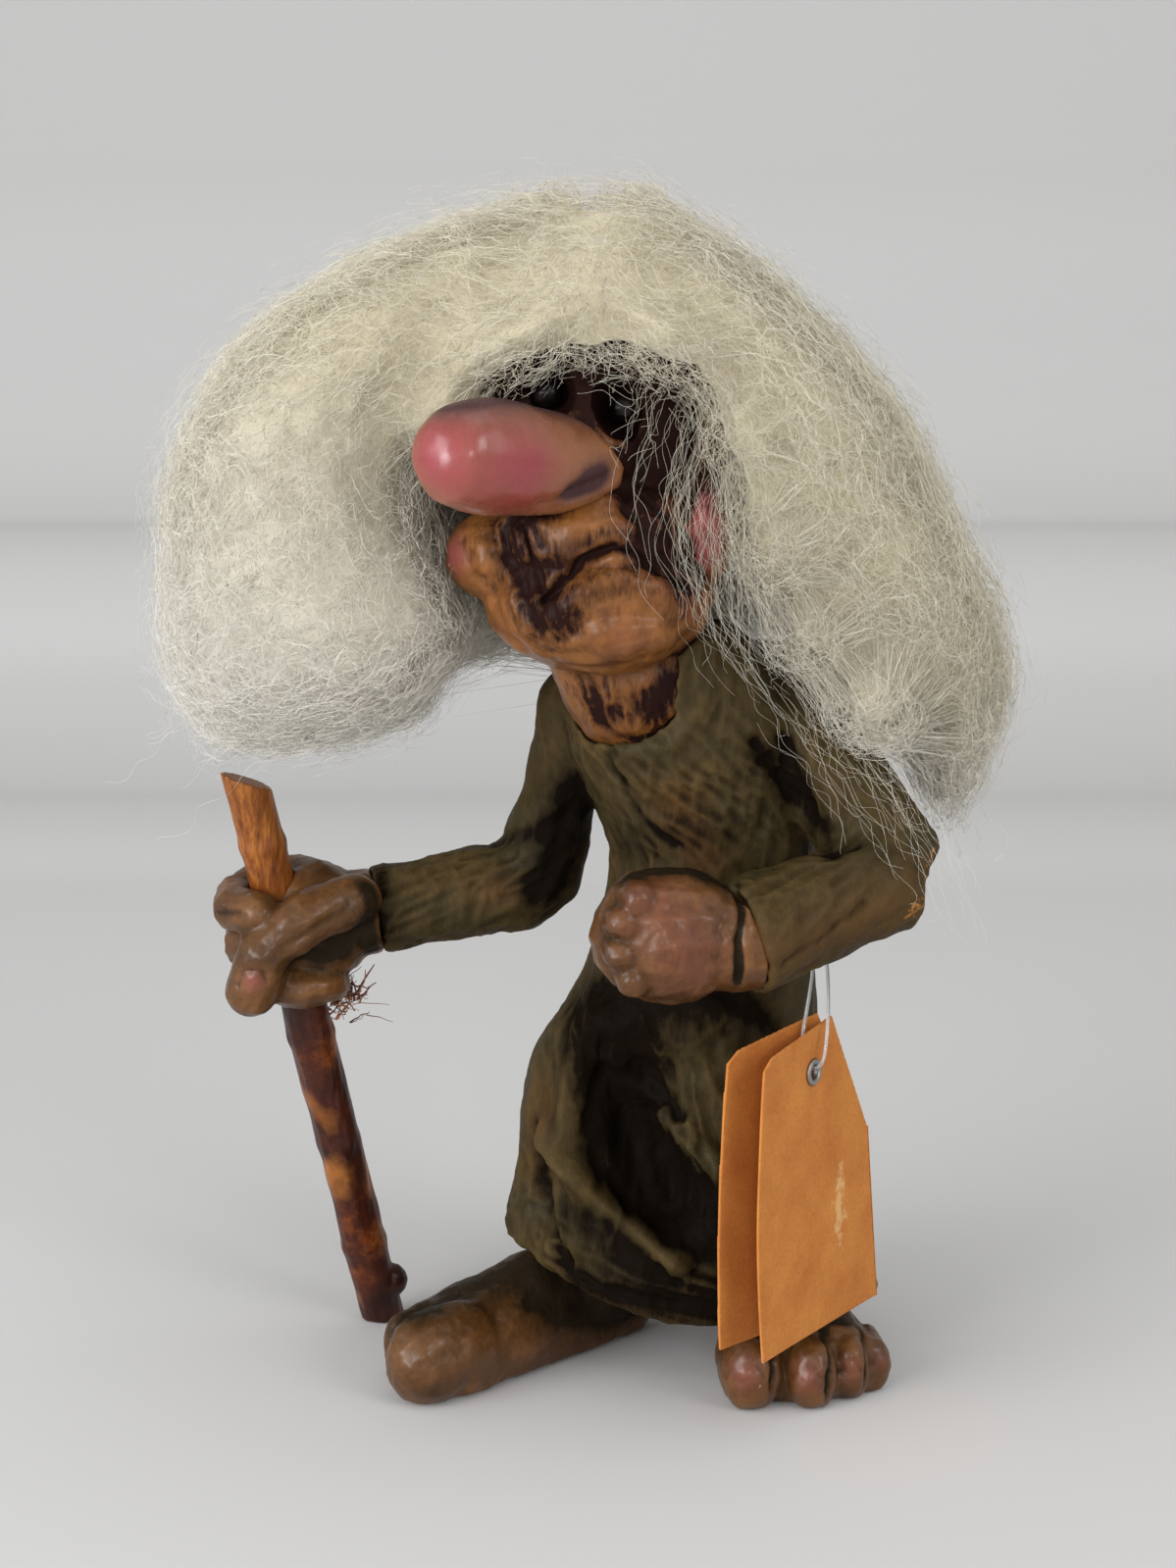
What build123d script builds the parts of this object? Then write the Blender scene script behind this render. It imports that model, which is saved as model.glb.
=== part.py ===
from build123d import *
import math
import os

# Norwegian troll figure: a bent old troll in a long robe with a wild wool wig, leaning on a
# walking stick, with a folded paper tag on his left arm. Millimetres, Z up, ground at zero,
# origin under the middle of the figure. The viewer stands at minus Y. Left and right are the
# troll's own. A table of shares is multiplied by the named sizes that stand beside it.

# Robe: a bell skirt, a waist and a narrow chest under a V collar
robe_x = 16.5
robe_y = 10.0
robe_hem_lift = 9.0
robe_height = 105.0
robe_hem_width = 59.0
robe_hem_depth = 41.0
robe_sides = 36
hem_rise_angle = 21.0
hem_rise_start_share = -0.09
# height, middle X, middle Y, half width, half depth
robe_ring_shares = [
    (0.000, 0.000, 0.000, 0.500, 0.488), (0.057, -0.015, -0.012, 0.490, 0.500),
    (0.124, -0.019, -0.024, 0.468, 0.500), (0.200, -0.024, -0.037, 0.439, 0.493),
    (0.276, -0.049, -0.061, 0.414, 0.470), (0.352, -0.049, -0.085, 0.380, 0.440),
    (0.429, -0.024, -0.122, 0.331, 0.405), (0.505, 0.014, -0.159, 0.288, 0.370),
    (0.581, 0.031, -0.183, 0.271, 0.350), (0.676, 0.039, -0.207, 0.264, 0.356),
    (0.752, 0.008, -0.220, 0.288, 0.366), (0.819, -0.017, -0.244, 0.314, 0.378),
    (0.876, -0.034, -0.268, 0.305, 0.366), (0.924, -0.068, -0.317, 0.271, 0.329),
    (0.971, -0.102, -0.366, 0.229, 0.280), (1.000, -0.114, -0.390, 0.170, 0.207),
]
# Folds of the skirt: bearing from the front, half width (both degrees), depth share of the
# radius (minus for a ridge), height share of the middle, half height share
robe_fold_shares = [
    (-16.0, 17.0, 0.30, 0.27, 0.15), (-45.0, 8.0, -0.05, 0.25, 0.20),
    (-60.0, 9.0, 0.10, 0.20, 0.16), (22.0, 9.0, -0.05, 0.22, 0.18),
    (52.0, 12.0, 0.07, 0.18, 0.20), (105.0, 14.0, 0.08, 0.12, 0.26),
    (150.0, 15.0, 0.07, 0.12, 0.28), (196.0, 15.0, 0.08, 0.12, 0.28), (240.0, 14.0, 0.07, 0.12, 0.26),
]

# Head: masses of clay pressed together round a skull, on a thick neck
head_width = 40.0
head_depth = 44.0
head_height = 58.0
# place of the head's middle: across and in depth from the top of the robe, height over it
head_shift = -9.3
head_reach = 2.0
head_lift = 23.0
# middle X, Y, Z, half X, Y, Z
skull_shares = (0.012, 0.114, 0.103, 0.500, 0.500, 0.397)
jaw_shares = (0.025, -0.159, -0.336, 0.412, 0.341, 0.181)
face_mass_shares = [
    (0.012, -0.205, -0.190, 0.375, 0.300, 0.155), (-0.338, -0.159, -0.233, 0.175, 0.190, 0.112),
    (0.350, -0.159, -0.181, 0.155, 0.182, 0.147), (0.075, -0.295, -0.415, 0.245, 0.216, 0.100),
    (0.215, -0.280, 0.212, 0.235, 0.165, 0.076), (-0.195, -0.280, 0.212, 0.235, 0.165, 0.076),
    (0.000, -0.300, 0.060, 0.200, 0.180, 0.170),
]
socket_mass_shares = [
    (0.100, -0.440, 0.115, 0.092, 0.190, 0.080), (-0.150, -0.440, 0.145, 0.092, 0.190, 0.075),
]
mouth_shares = [
    (-0.190, -0.455, -0.400), (-0.130, -0.490, -0.310), (-0.030, -0.510, -0.235),
    (0.060, -0.515, -0.220), (0.170, -0.495, -0.265), (0.290, -0.450, -0.340),
]
mouth_thickness = 2.6
neck_top_radius = 12.5
neck_foot_radius = 11.5
neck_top_shares = (0.030, 0.040, -0.250)
neck_depth = 8.5
neck_foot_shift = -2.4
neck_clearance = 0.15

# Nose: a long bulb that hangs out to his right
nose_length = 21.5
nose_thickness = 15.4
nose_turn = 49.0
nose_rise_share = 0.050
nose_seat_shares = (-0.035, -0.375, -0.018)
# along, radius
nose_ring_shares = [(0.000, 0.420), (0.220, 0.450), (0.450, 0.480), (0.700, 0.505), (0.900, 0.495)]

# Eyes: dark beads deep in their sockets
eye_diameter = 4.4
eye_place_shares = [("left_eye", (0.105, -0.300, 0.115)), ("right_eye", (-0.150, -0.300, 0.150))]

# Sleeves: height, side and front of the shoulder on the robe, then directions of the arm
arm_sides = 16
left_upper_arm = 32.5
left_forearm = 27.5
left_sleeve_thickness = 15.6
left_shoulder_shares = (0.895, 0.180, -0.235)
left_upper_arm_shares = (0.535, -0.420, -0.770)
left_forearm_shares = (-0.850, -0.420, -0.265)
# part of the way, radius
left_upper_arm_ring_shares = [(0.0, 0.52), (0.35, 0.53), (0.70, 0.50), (0.93, 0.50)]
left_forearm_ring_shares = [(0.10, 0.52), (0.40, 0.49), (0.72, 0.50), (1.0, 0.54)]
right_upper_arm = 29.0
right_forearm = 24.5
right_sleeve_thickness = 13.8
right_shoulder_shares = (0.870, -0.285, -0.150)
right_upper_arm_shares = (-0.275, 0.175, -0.945)
right_forearm_shares = (-0.975, -0.140, -0.150)
right_upper_arm_ring_shares = [(0.0, 0.54), (0.25, 0.47), (0.50, 0.41), (0.74, 0.47), (0.92, 0.53)]
right_forearm_ring_shares = [(0.12, 0.53), (0.38, 0.50), (0.68, 0.46), (1.0, 0.50)]

# Left hand: a fist that rests before the belly
fist_length = 20.0
fist_depth = 17.0
fist_height = 19.5
fist_tilt_share = 0.06
fist_turn_share = 0.25
# rise, along the hand, thickness
finger_roll_shares = [
    (0.285, 0.225, 0.275), (0.105, 0.330, 0.290), (-0.095, 0.345, 0.290), (-0.285, 0.255, 0.265),
]
fist_length_half_share = 0.56
finger_reach_share = 0.26
wrist_shares = (0.50, 0.46)

# Right hand: a fist closed round the stick
grip_length = 22.0
grip_depth = 18.0
grip_height = 19.5
grip_share = 0.640
grip_drop = 0.6
palm_share = 0.330
finger_thickness = 6.6
# level of each finger on the stick in hand heights, thickness
grip_finger_shares = [(0.300, 1.08), (0.000, 1.06), (-0.290, 0.98)]
grip_finger_bearings = (-75.0, -30.0, 20.0, 70.0, 118.0, 160.0)
thumb_thickness = 8.8
# along the hand from the grip, front, up in hand lengths, depths and heights, thickness
thumb_shares = [
    (0.520, -0.280, 0.280, 0.90), (0.200, -0.420, 0.170, 0.98), (-0.080, -0.470, -0.100, 1.04),
    (-0.180, -0.420, -0.390, 0.92),
]
palm_heel_shares = (0.130, -0.060, -0.400, 0.340, 0.360, 0.200)
palm_wrist_shares = (0.47, 0.49)
stick_clearance = 0.15

# Feet: broad and bare, with round toes
foot_sides = 16
left_foot_length = 41.0
left_foot_width = 27.0
left_foot_height = 17.0
left_foot_shares = (0.215, -0.068)
left_foot_turn = 8.0
left_heel_back_share = 0.30
# along, side, width, height
foot_ring_shares = [
    (0.04, 0.00, 0.44, 0.75), (0.22, 0.02, 0.52, 0.92), (0.42, 0.02, 0.64, 0.88),
    (0.62, 0.00, 0.84, 0.74), (0.80, 0.00, 0.98, 0.62),
]
# side, length, width, height
left_toe_shares = [
    (-0.325, 0.00, 0.350, 0.640), (0.000, 0.03, 0.290, 0.590), (0.235, -0.03, 0.225, 0.520),
    (0.405, -0.10, 0.175, 0.450),
]
right_toe_shares = [(-0.215, 0.02, 0.620, 0.680), (0.160, 0.00, 0.320, 0.560), (0.380, -0.07, 0.240, 0.470)]
toe_reach_share = 0.875
toe_length_share = 0.13
toe_rise_share = 0.05
heel_round_share = 0.08
ball_round_share = 0.16
right_foot_length = 50.0
right_foot_width = 20.0
right_foot_height = 19.5
right_foot_shares = (-0.138, 0.165)
right_foot_turn = -51.0
ankle_thickness = 17.0
ankle_rise = 16.0
ankle_seat_share = 0.20

# Walking stick: a cut branch that stands on the ground
stick_diameter = 6.9
stick_taper_share = 0.93
stick_over_grip = 24.6
stick_lean_share = 0.193
stick_back_lean_share = -0.240
stick_sides = 14
knot_diameter = 4.6
knot_height = 6.0
fray_length = 6.5
fray_thickness = 0.7
fray_pad = 4.4
fray_drop = 11.6
fibre_way_shares = [
    (1.0, -0.3, 0.55), (1.0, 0.1, 0.25), (0.9, -0.5, -0.1), (0.8, 0.2, -0.45), (0.6, -0.4, -0.8),
    (0.9, 0.5, 0.4),
]

# Wool: two great lobes that part over the brow and a fall behind the neck
wool_clearance = 0.3
wool_sides = 22
wool_top = 41.0
left_wool_height = 86.0
left_wool_width = 64.0
left_wool_depth = 66.0
right_wool_height = 96.0
right_wool_width = 63.0
right_wool_depth = 66.0
wool_front_reach = 24.0
# height from the bottom, outer X, inner X from the parting, front Y, back Y
left_wool_shares = [
    (0.000, 0.835, 0.780, 0.48, 0.54), (0.040, 0.895, 0.610, 0.34, 0.64), (0.085, 0.935, 0.360, 0.22, 0.76),
    (0.155, 0.978, 0.270, 0.12, 0.84), (0.245, 1.000, 0.235, 0.06, 0.91), (0.340, 1.000, 0.265, 0.03, 0.95),
    (0.450, 0.995, 0.300, 0.01, 0.99), (0.540, 0.965, 0.325, 0.00, 1.00), (0.620, 0.910, 0.280, 0.00, 1.00),
    (0.680, 0.855, 0.130, 0.00, 0.99), (0.750, 0.765, 0.015, 0.02, 0.98), (0.830, 0.605, 0.015, 0.07, 0.94),
    (0.910, 0.400, 0.015, 0.16, 0.85), (0.970, 0.215, 0.015, 0.29, 0.72), (1.000, 0.100, 0.015, 0.39, 0.60),
]
right_wool_shares = [
    (0.000, 0.865, 0.830, 0.50, 0.58), (0.045, 0.905, 0.790, 0.44, 0.66), (0.105, 0.955, 0.745, 0.37, 0.75),
    (0.180, 0.998, 0.665, 0.29, 0.84), (0.255, 1.000, 0.575, 0.22, 0.90), (0.330, 0.982, 0.455, 0.14, 0.95),
    (0.400, 0.935, 0.330, 0.08, 0.98), (0.485, 0.870, 0.285, 0.04, 1.00), (0.570, 0.808, 0.235, 0.02, 1.00),
    (0.640, 0.742, 0.190, 0.00, 1.00), (0.715, 0.648, 0.120, 0.01, 0.99), (0.790, 0.535, 0.015, 0.04, 0.97),
    (0.860, 0.410, 0.015, 0.10, 0.93), (0.935, 0.280, 0.015, 0.21, 0.84), (1.000, 0.115, 0.015, 0.36, 0.66),
]
crown_wool_width = 50.0
crown_wool_depth = 64.0
crown_wool_height = 39.0
crown_wool_place_shares = (0.000, 0.205, 0.350)
back_wool_width = 62.0
back_wool_depth = 42.0
back_wool_height = 62.0
back_wool_place_shares = (0.000, 0.712, -0.150)
robe_room_drop_shares = (0.25, 0.08)
robe_room_shares = (0.33, 0.25)

# Tag: a folded kraft card on a clear thread
card_thickness = 0.45
tag_width = 33.8
tag_height = 45.8
tag_open_angle = 11.5
tag_plane_angle = 54.8
tag_fold_gap = 0.30
tag_outline_shares = [(0.0, 0.0), (1.0, 0.0), (0.890, 0.590), (0.560, 1.0), (0.060, 0.940), (0.0, 0.905)]
tag_hole_shares = (0.405, 0.843)
eyelet_hole = 2.2
eyelet_barrel = 0.35
eyelet_flange = 0.55
eyelet_lip = 0.35
eyelet_clearance = 0.05
tag_thread_diameter = 0.5
thread_sides = 8
# the hole beside and before the robe, the tag's foot over the ground by the left foot's height,
# and the top of the thread on the arm by the robe's height
tag_hole_side_share = 0.2576
tag_hole_front_share = -0.7707
tag_foot_rise_share = 0.723
thread_top_share = 0.6476
# past the hole: along the card and out of its face, then the share of the rise to the top
thread_alongs = [10.6, 10.5, 9.0, 4.0, 0.9, 0.0, 0.0, 0.3, 3.2, 7.6, 9.6, 9.2]
thread_outs = [-8.8, -5.3, -2.8, 0.3, 1.9, 1.7, -1.7, -1.9, -2.6, -4.2, -6.0, -9.3]
thread_rise_shares = [1.0, 0.789, 0.533, 0.383, 0.215, 0.021, 0.021, 0.176, 0.345, 0.529, 0.728, 0.943]


def facet(*corners):
    return Face(Wire.make_polygon([Vector(*c) for c in corners], close=True))


def is_flat(a, b, c, d):
    normal = (b - a).cross(c - a)
    if normal.length == 0:
        return False
    return abs(normal.normalized().dot(d - a)) < 1e-9 * (c - a).length


def skin(rings):
    """Closed solid in flat facets through rings of as many points each; an end may be one point."""
    faces = []
    for low, high in zip(rings, rings[1:]):
        count = max(len(low), len(high))
        for k in range(count):
            a, b = low[k % len(low)], low[(k + 1) % len(low)]
            d, c = high[k % len(high)], high[(k + 1) % len(high)]
            if len(low) == 1:
                faces.append(facet(a, c, d))
            elif len(high) == 1:
                faces.append(facet(a, b, d))
            elif is_flat(a, b, c, d):
                faces.append(facet(a, b, c, d))
            else:
                faces.append(facet(a, b, c))
                faces.append(facet(a, c, d))
    for end in (rings[0], rings[-1]):
        if len(end) > 1:
            faces.append(facet(*end))
    solid = Solid(Shell(faces))
    return solid if solid.volume > 0 else Solid(Shell([-face for face in faces]))


def oval(middle, across, up, count):
    """Points of an ellipse about a middle, from its two half axes."""
    angles = [2 * math.pi * k / count for k in range(count)]
    return [middle + across * math.cos(a) + up * math.sin(a) for a in angles]


def egg(middle, half_x, half_y, half_z, sides=16, tiers=8):
    rings = []
    for k in range(tiers + 1):
        lift = -math.pi / 2 + math.pi * k / tiers
        place = middle + Vector(0, 0, half_z * math.sin(lift))
        if k in (0, tiers):
            rings.append([place])
        else:
            reach = math.cos(lift)
            rings.append(oval(place, Vector(half_x * reach, 0, 0), Vector(0, half_y * reach, 0), sides))
    return skin(rings)


def limb(places, radii, sides, upright=Vector(0, 0, 1), flatness=1.0, domes=(True, True)):
    """Faceted tube through places, with a radius at each; flatness squeezes its upright way."""
    rings = []
    count = len(places)
    for k in range(count):
        before, after = places[max(k - 1, 0)], places[min(k + 1, count - 1)]
        along = (after - before).normalized()
        across = along.cross(upright).normalized()
        up = across.cross(along).normalized() * flatness
        rows = [(0.0, 1.0)]
        if k == 0 and domes[0]:
            rows = [(-1.0, 0.0), (-0.87, 0.5), (-0.5, 0.87), (0.0, 1.0)]
        if k == count - 1 and domes[1]:
            rows = [(0.0, 1.0), (0.5, 0.87), (0.87, 0.5), (1.0, 0.0)]
        for ahead, reach in rows:
            place = places[k] + along * radii[k] * ahead
            if reach == 0:
                rings.append([place])
            else:
                rings.append(oval(place, across * radii[k] * reach, up * radii[k] * reach, sides))
    return skin(rings)


def one_solid(shape):
    """The largest solid of a result, without slivers."""
    return max(shape.solids(), key=lambda solid: solid.volume)


def between(start, end, share):
    return start + (end - start) * share


def robe_place(height_share, side_share, front_share):
    return Vector(robe_x + robe_hem_width * side_share, robe_y + robe_hem_depth * front_share,
                  robe_hem_lift + robe_height * height_share)


def fold_factor(bearing, height_share):
    """How far the cloth stands out at a bearing from the front, as a share of the plain radius."""
    factor = 1.0
    for middle, width, depth, height, reach in robe_fold_shares:
        turn = (bearing - middle + 180.0) % 360.0 - 180.0
        side = math.exp(-(turn / width) ** 2)
        rise = math.exp(-((height_share - height) / reach) ** 4)
        factor -= depth * side * rise
    return factor


# Robe
robe_rings = []
for height_share, x_share, y_share, width_share, depth_share in robe_ring_shares:
    middle = robe_place(height_share, x_share, y_share)
    ring = []
    for k in range(robe_sides):
        bearing = 360.0 * k / robe_sides
        stand = fold_factor(bearing, height_share)
        turn = math.radians(bearing)
        ring.append(middle + Vector(math.sin(turn) * robe_hem_width * width_share * stand,
                                    -math.cos(turn) * robe_hem_depth * depth_share * stand, 0))
    robe_rings.append(ring)
robe_block = skin(robe_rings)
hem_cut_size = 2 * robe_hem_width
hem_wedge = Pos(robe_place(0, hem_rise_start_share, 0)) * Rot(0, hem_rise_angle, 0) * Box(
    hem_cut_size, hem_cut_size, robe_hem_width, align=(Align.MAX, Align.CENTER, Align.MAX))

# Head and neck
collar_top = robe_place(1, robe_ring_shares[-1][1], robe_ring_shares[-1][2])
head_middle = collar_top + Vector(head_shift, -head_reach, head_lift)


def head_place(x_share, y_share, z_share):
    return head_middle + Vector(head_width * x_share, head_depth * y_share, head_height * z_share)


def head_mass(shares, sides, tiers, extra=0.0):
    return egg(head_place(*shares[:3]), head_width * shares[3] + extra, head_depth * shares[4] + extra,
               head_height * shares[5] + extra, sides, tiers)


neck_top = head_place(*neck_top_shares)
neck_foot = Vector(collar_top.X + neck_foot_shift, collar_top.Y, collar_top.Z - neck_depth)
neck_radii = [neck_foot_radius, (neck_foot_radius + neck_top_radius) / 2, neck_top_radius]


def neck(extra):
    return limb([neck_foot, between(neck_foot, neck_top, 0.5), neck_top],
                [radius + extra for radius in neck_radii], 18, upright=Vector(0, 1, 0))


head = head_mass(skull_shares, 22, 10) + head_mass(jaw_shares, 20, 8) + neck(0.0)
for shares in face_mass_shares:
    head += head_mass(shares, 14, 7)
for shares in socket_mass_shares:
    head -= head_mass(shares, 12, 6)
head -= limb([head_place(*shares) for shares in mouth_shares],
             [mouth_thickness / 2] * len(mouth_shares), 6, upright=Vector(0, 1, 0))
head = one_solid(head)
head_seat = neck(neck_clearance) + head_mass(jaw_shares, 20, 8, neck_clearance)
for shares in face_mass_shares[:1] + face_mass_shares[3:4]:
    head_seat += head_mass(shares, 14, 7, neck_clearance)
robe = one_solid(robe_block - hem_wedge - head_seat)

# Nose, seated on the face
nose_way = Vector(-math.sin(math.radians(nose_turn)), -math.cos(math.radians(nose_turn)), nose_rise_share)
nose_root = head_place(*nose_seat_shares)
nose_places = [nose_root + nose_way * nose_length * along for along, radius in nose_ring_shares]
nose_radii = [nose_thickness * radius for along, radius in nose_ring_shares]
nose = one_solid(limb(nose_places, nose_radii, 18) - head)

# Eyes
eyes = {}
for eye_name, shares in eye_place_shares:
    radius = eye_diameter / 2
    eyes[eye_name] = one_solid(egg(head_place(*shares), radius, radius, radius, 12, 6) - head)


# Sleeves
def arm(shoulder, upper, upper_length, upper_rings, fore, fore_length, fore_rings, thickness, extra=0.0):
    elbow = shoulder + Vector(*upper) * upper_length
    cuff = elbow + Vector(*fore) * fore_length
    places = [between(shoulder, elbow, share) for share, radius in upper_rings]
    places += [between(elbow, cuff, share) for share, radius in fore_rings]
    radii = [thickness * radius + extra for share, radius in upper_rings + fore_rings]
    return limb(places, radii, arm_sides, upright=Vector(0, 1, 0), domes=(True, False)), elbow, cuff


left_arm_values = (robe_place(*left_shoulder_shares), left_upper_arm_shares, left_upper_arm,
                   left_upper_arm_ring_shares, left_forearm_shares, left_forearm, left_forearm_ring_shares,
                   left_sleeve_thickness)
right_arm_values = (robe_place(*right_shoulder_shares), right_upper_arm_shares, right_upper_arm,
                    right_upper_arm_ring_shares, right_forearm_shares, right_forearm,
                    right_forearm_ring_shares, right_sleeve_thickness)
left_sleeve, left_elbow, left_cuff = arm(*left_arm_values)
right_sleeve, right_elbow, right_cuff = arm(*right_arm_values)
left_sleeve = one_solid(left_sleeve - robe - head)
right_sleeve = one_solid(right_sleeve - robe - head)

# Left hand: the back of the hand as one mass with four rolled fingers at its end
fist_way = Vector(left_forearm_shares[0], left_forearm_shares[1] * fist_turn_share, fist_tilt_share)
fist_way = fist_way.normalized()
fist_middle = left_cuff + fist_way * fist_length / 2
fist = egg(fist_middle, fist_length * fist_length_half_share, fist_depth * 0.5, fist_height * 0.5, 18, 8)
for rise_share, along_share, thick_share in finger_roll_shares:
    knuckle = fist_middle + fist_way * fist_length * along_share + Vector(0, 0, fist_height * rise_share)
    reach = Vector(0, fist_depth * finger_reach_share, 0)
    fist += limb([knuckle - reach, knuckle + reach], [fist_height * thick_share * 0.5] * 2, 10)
wrist = limb([left_cuff, fist_middle], [left_sleeve_thickness * share for share in wrist_shares], arm_sides,
             upright=Vector(0, 1, 0))
left_hand = one_solid(fist + wrist - left_sleeve - robe)

# Right hand: palm, three fingers that come round the stick from behind, and a thumb over its front
grip_way = Vector(*right_forearm_shares).normalized()
grip_middle = right_cuff + grip_way * grip_length * grip_share - Vector(0, 0, grip_drop)
stick_way = Vector(-stick_lean_share, stick_back_lean_share, 1.0).normalized()
side_way = stick_way.cross(Vector(0, 1, 0)).normalized()
front_way = side_way.cross(stick_way).normalized()


def hand_place(along_share, front_share, up_share):
    """A place by the grip, from shares of the hand's length toward the wrist, its depth and its height."""
    return grip_middle + Vector(grip_length * along_share, grip_depth * front_share, grip_height * up_share)


palm = egg(between(hand_place(0, 0, 0), right_cuff, palm_share), grip_length * 0.44, grip_depth * 0.46,
           grip_height * 0.47, 18, 8)
palm += egg(hand_place(*palm_heel_shares[:3]), grip_length * palm_heel_shares[3],
            grip_depth * palm_heel_shares[4], grip_height * palm_heel_shares[5], 14, 7)
palm += limb([right_cuff, between(right_cuff, hand_place(0, 0, 0), 0.5)],
             [right_sleeve_thickness * share for share in palm_wrist_shares], arm_sides,
             upright=Vector(0, 1, 0))
finger_orbit = stick_diameter / 2 + finger_thickness * 0.46
for rise_share, size_share in grip_finger_shares:
    level = grip_middle + stick_way * grip_height * rise_share
    places = []
    for bearing in grip_finger_bearings:
        turn = math.radians(bearing)
        round_stick = side_way * math.sin(turn) + front_way * math.cos(turn)
        places.append(level + round_stick * finger_orbit)
    palm += limb(places, [finger_thickness / 2 * size_share] * len(places), 10, upright=stick_way)
palm += limb([hand_place(*shares[:3]) for shares in thumb_shares],
             [thumb_thickness / 2 * shares[3] for shares in thumb_shares], 12, upright=Vector(0, 1, 0))

# Stick, from the ground through the right hand
stick_foot = grip_middle - stick_way * (grip_middle.Z / stick_way.Z)
stick_top = grip_middle + stick_way * stick_over_grip


def stick(extra):
    low = stick_foot - stick_way * stick_diameter
    high = stick_top + stick_way * stick_diameter
    radii = [stick_diameter / 2 * stick_taper_share + extra, stick_diameter / 2 + extra]
    return limb([low, high], radii, stick_sides, upright=Vector(0, 1, 0), domes=(False, False))


def ground(size):
    return Pos(0, 0, 0) * Box(size, size, size, align=(Align.CENTER, Align.CENTER, Align.MAX))


ground_size = 4 * robe_height
top_cut = Pos(stick_top) * Rot(0, -math.degrees(math.asin(stick_way.X)) + 9.0, 0) * Box(
    robe_height, robe_height, robe_height, align=(Align.CENTER, Align.CENTER, Align.MIN))
knot_place = between(stick_foot, stick_top, knot_height / stick_top.Z) - side_way * stick_diameter * 0.40
knot = egg(knot_place, knot_diameter * 0.5, knot_diameter * 0.5, knot_diameter * 0.6, 10, 6)
walking_stick = stick(0.0) + knot
walking_stick = one_solid(walking_stick - ground(ground_size) - top_cut)
right_hand = one_solid(palm - stick(stick_clearance) - right_sleeve)

# Bark fibres scraped up under the fist
fray_seat = grip_middle - stick_way * fray_drop - side_way * stick_diameter * 0.5
bark_fray = egg(fray_seat, fray_pad * 0.42, fray_pad * 0.5, fray_pad * 0.32, 10, 6)
for way_shares in fibre_way_shares:
    tip = fray_seat + Vector(*way_shares).normalized() * fray_length
    bark_fray += limb([fray_seat, tip], [fray_thickness * 0.5, fray_thickness * 0.2], 4, domes=(False, False))
bark_fray = one_solid(bark_fray - stick(wool_clearance / 6) - right_hand)


# Feet
def foot(heel, length, width, height, turn, toes, inner):
    """Oval body on the ground that widens to the toes; inner is the side, plus or minus, of the big toe."""
    ahead = Vector(math.sin(math.radians(turn)), -math.cos(math.radians(turn)), 0)
    side = Vector(math.cos(math.radians(turn)), math.sin(math.radians(turn)), 0)
    rings = []
    for along, aside, wide, high in foot_ring_shares:
        middle = heel + ahead * length * along + side * width * aside + Vector(0, 0, height * high * 0.34)
        rings.append(oval(middle, side * width * wide / 2, Vector(0, 0, height * high * 0.66), foot_sides))
    heel_cap = heel + Vector(0, 0, height * foot_ring_shares[0][3] * 0.34)
    heel_tip = heel_cap - ahead * length * heel_round_share
    front_tip = between(rings[-1][0], rings[-1][foot_sides // 2], 0.5) + ahead * length * ball_round_share
    body = skin([[heel_tip]] + rings + [[front_tip]])
    for aside, along, wide, high in toes:
        tip = heel + ahead * length * (toe_reach_share + along) - side * width * aside * inner
        tip += Vector(0, 0, height * high * 0.44)
        root = tip - ahead * length * toe_length_share + Vector(0, 0, height * toe_rise_share)
        body += limb([root, tip], [width * wide * 0.46, width * wide * 0.50], 12,
                     flatness=height * high * 0.56 / (width * wide * 0.50))
    base = heel + ahead * length * ankle_seat_share
    body += limb([base + Vector(0, 0, height * 0.5), base + Vector(0, 0, ankle_rise + height * 0.5)],
                 [ankle_thickness / 2, ankle_thickness / 2], foot_sides, upright=Vector(0, 1, 0))
    return body - ground(ground_size)


left_heel = Vector(robe_place(0, left_foot_shares[0], 0).X, robe_place(0, 0, left_foot_shares[1]).Y, 0)
left_ahead = Vector(math.sin(math.radians(left_foot_turn)), -math.cos(math.radians(left_foot_turn)), 0)
left_heel = left_heel - left_ahead * left_foot_length * left_heel_back_share
right_heel = Vector(robe_place(0, right_foot_shares[0], 0).X, robe_place(0, 0, right_foot_shares[1]).Y, 0)
left_foot = foot(left_heel, left_foot_length, left_foot_width, left_foot_height, left_foot_turn,
                 left_toe_shares, -1)
left_foot = one_solid(left_foot - robe)
right_foot = foot(right_heel, right_foot_length, right_foot_width, right_foot_height, right_foot_turn,
                  right_toe_shares, 1)
right_foot = one_solid(right_foot - robe)

# Wool
wool_bottom_left = head_middle.Z + wool_top - left_wool_height
wool_bottom_right = head_middle.Z + wool_top - right_wool_height
wool_front = head_middle.Y - wool_front_reach
parting_x = head_middle.X


def wool_lobe(shares, way, bottom, height, width, depth):
    rings = []
    for rise, outer, inner, front, back in shares:
        middle = Vector(parting_x + way * width * (outer + inner) / 2,
                        wool_front + depth * (front + back) / 2, bottom + height * rise)
        rings.append(oval(middle, Vector(way * width * (outer - inner) / 2, 0, 0),
                          Vector(0, depth * (back - front) / 2, 0), wool_sides))
    return skin(rings)


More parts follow.
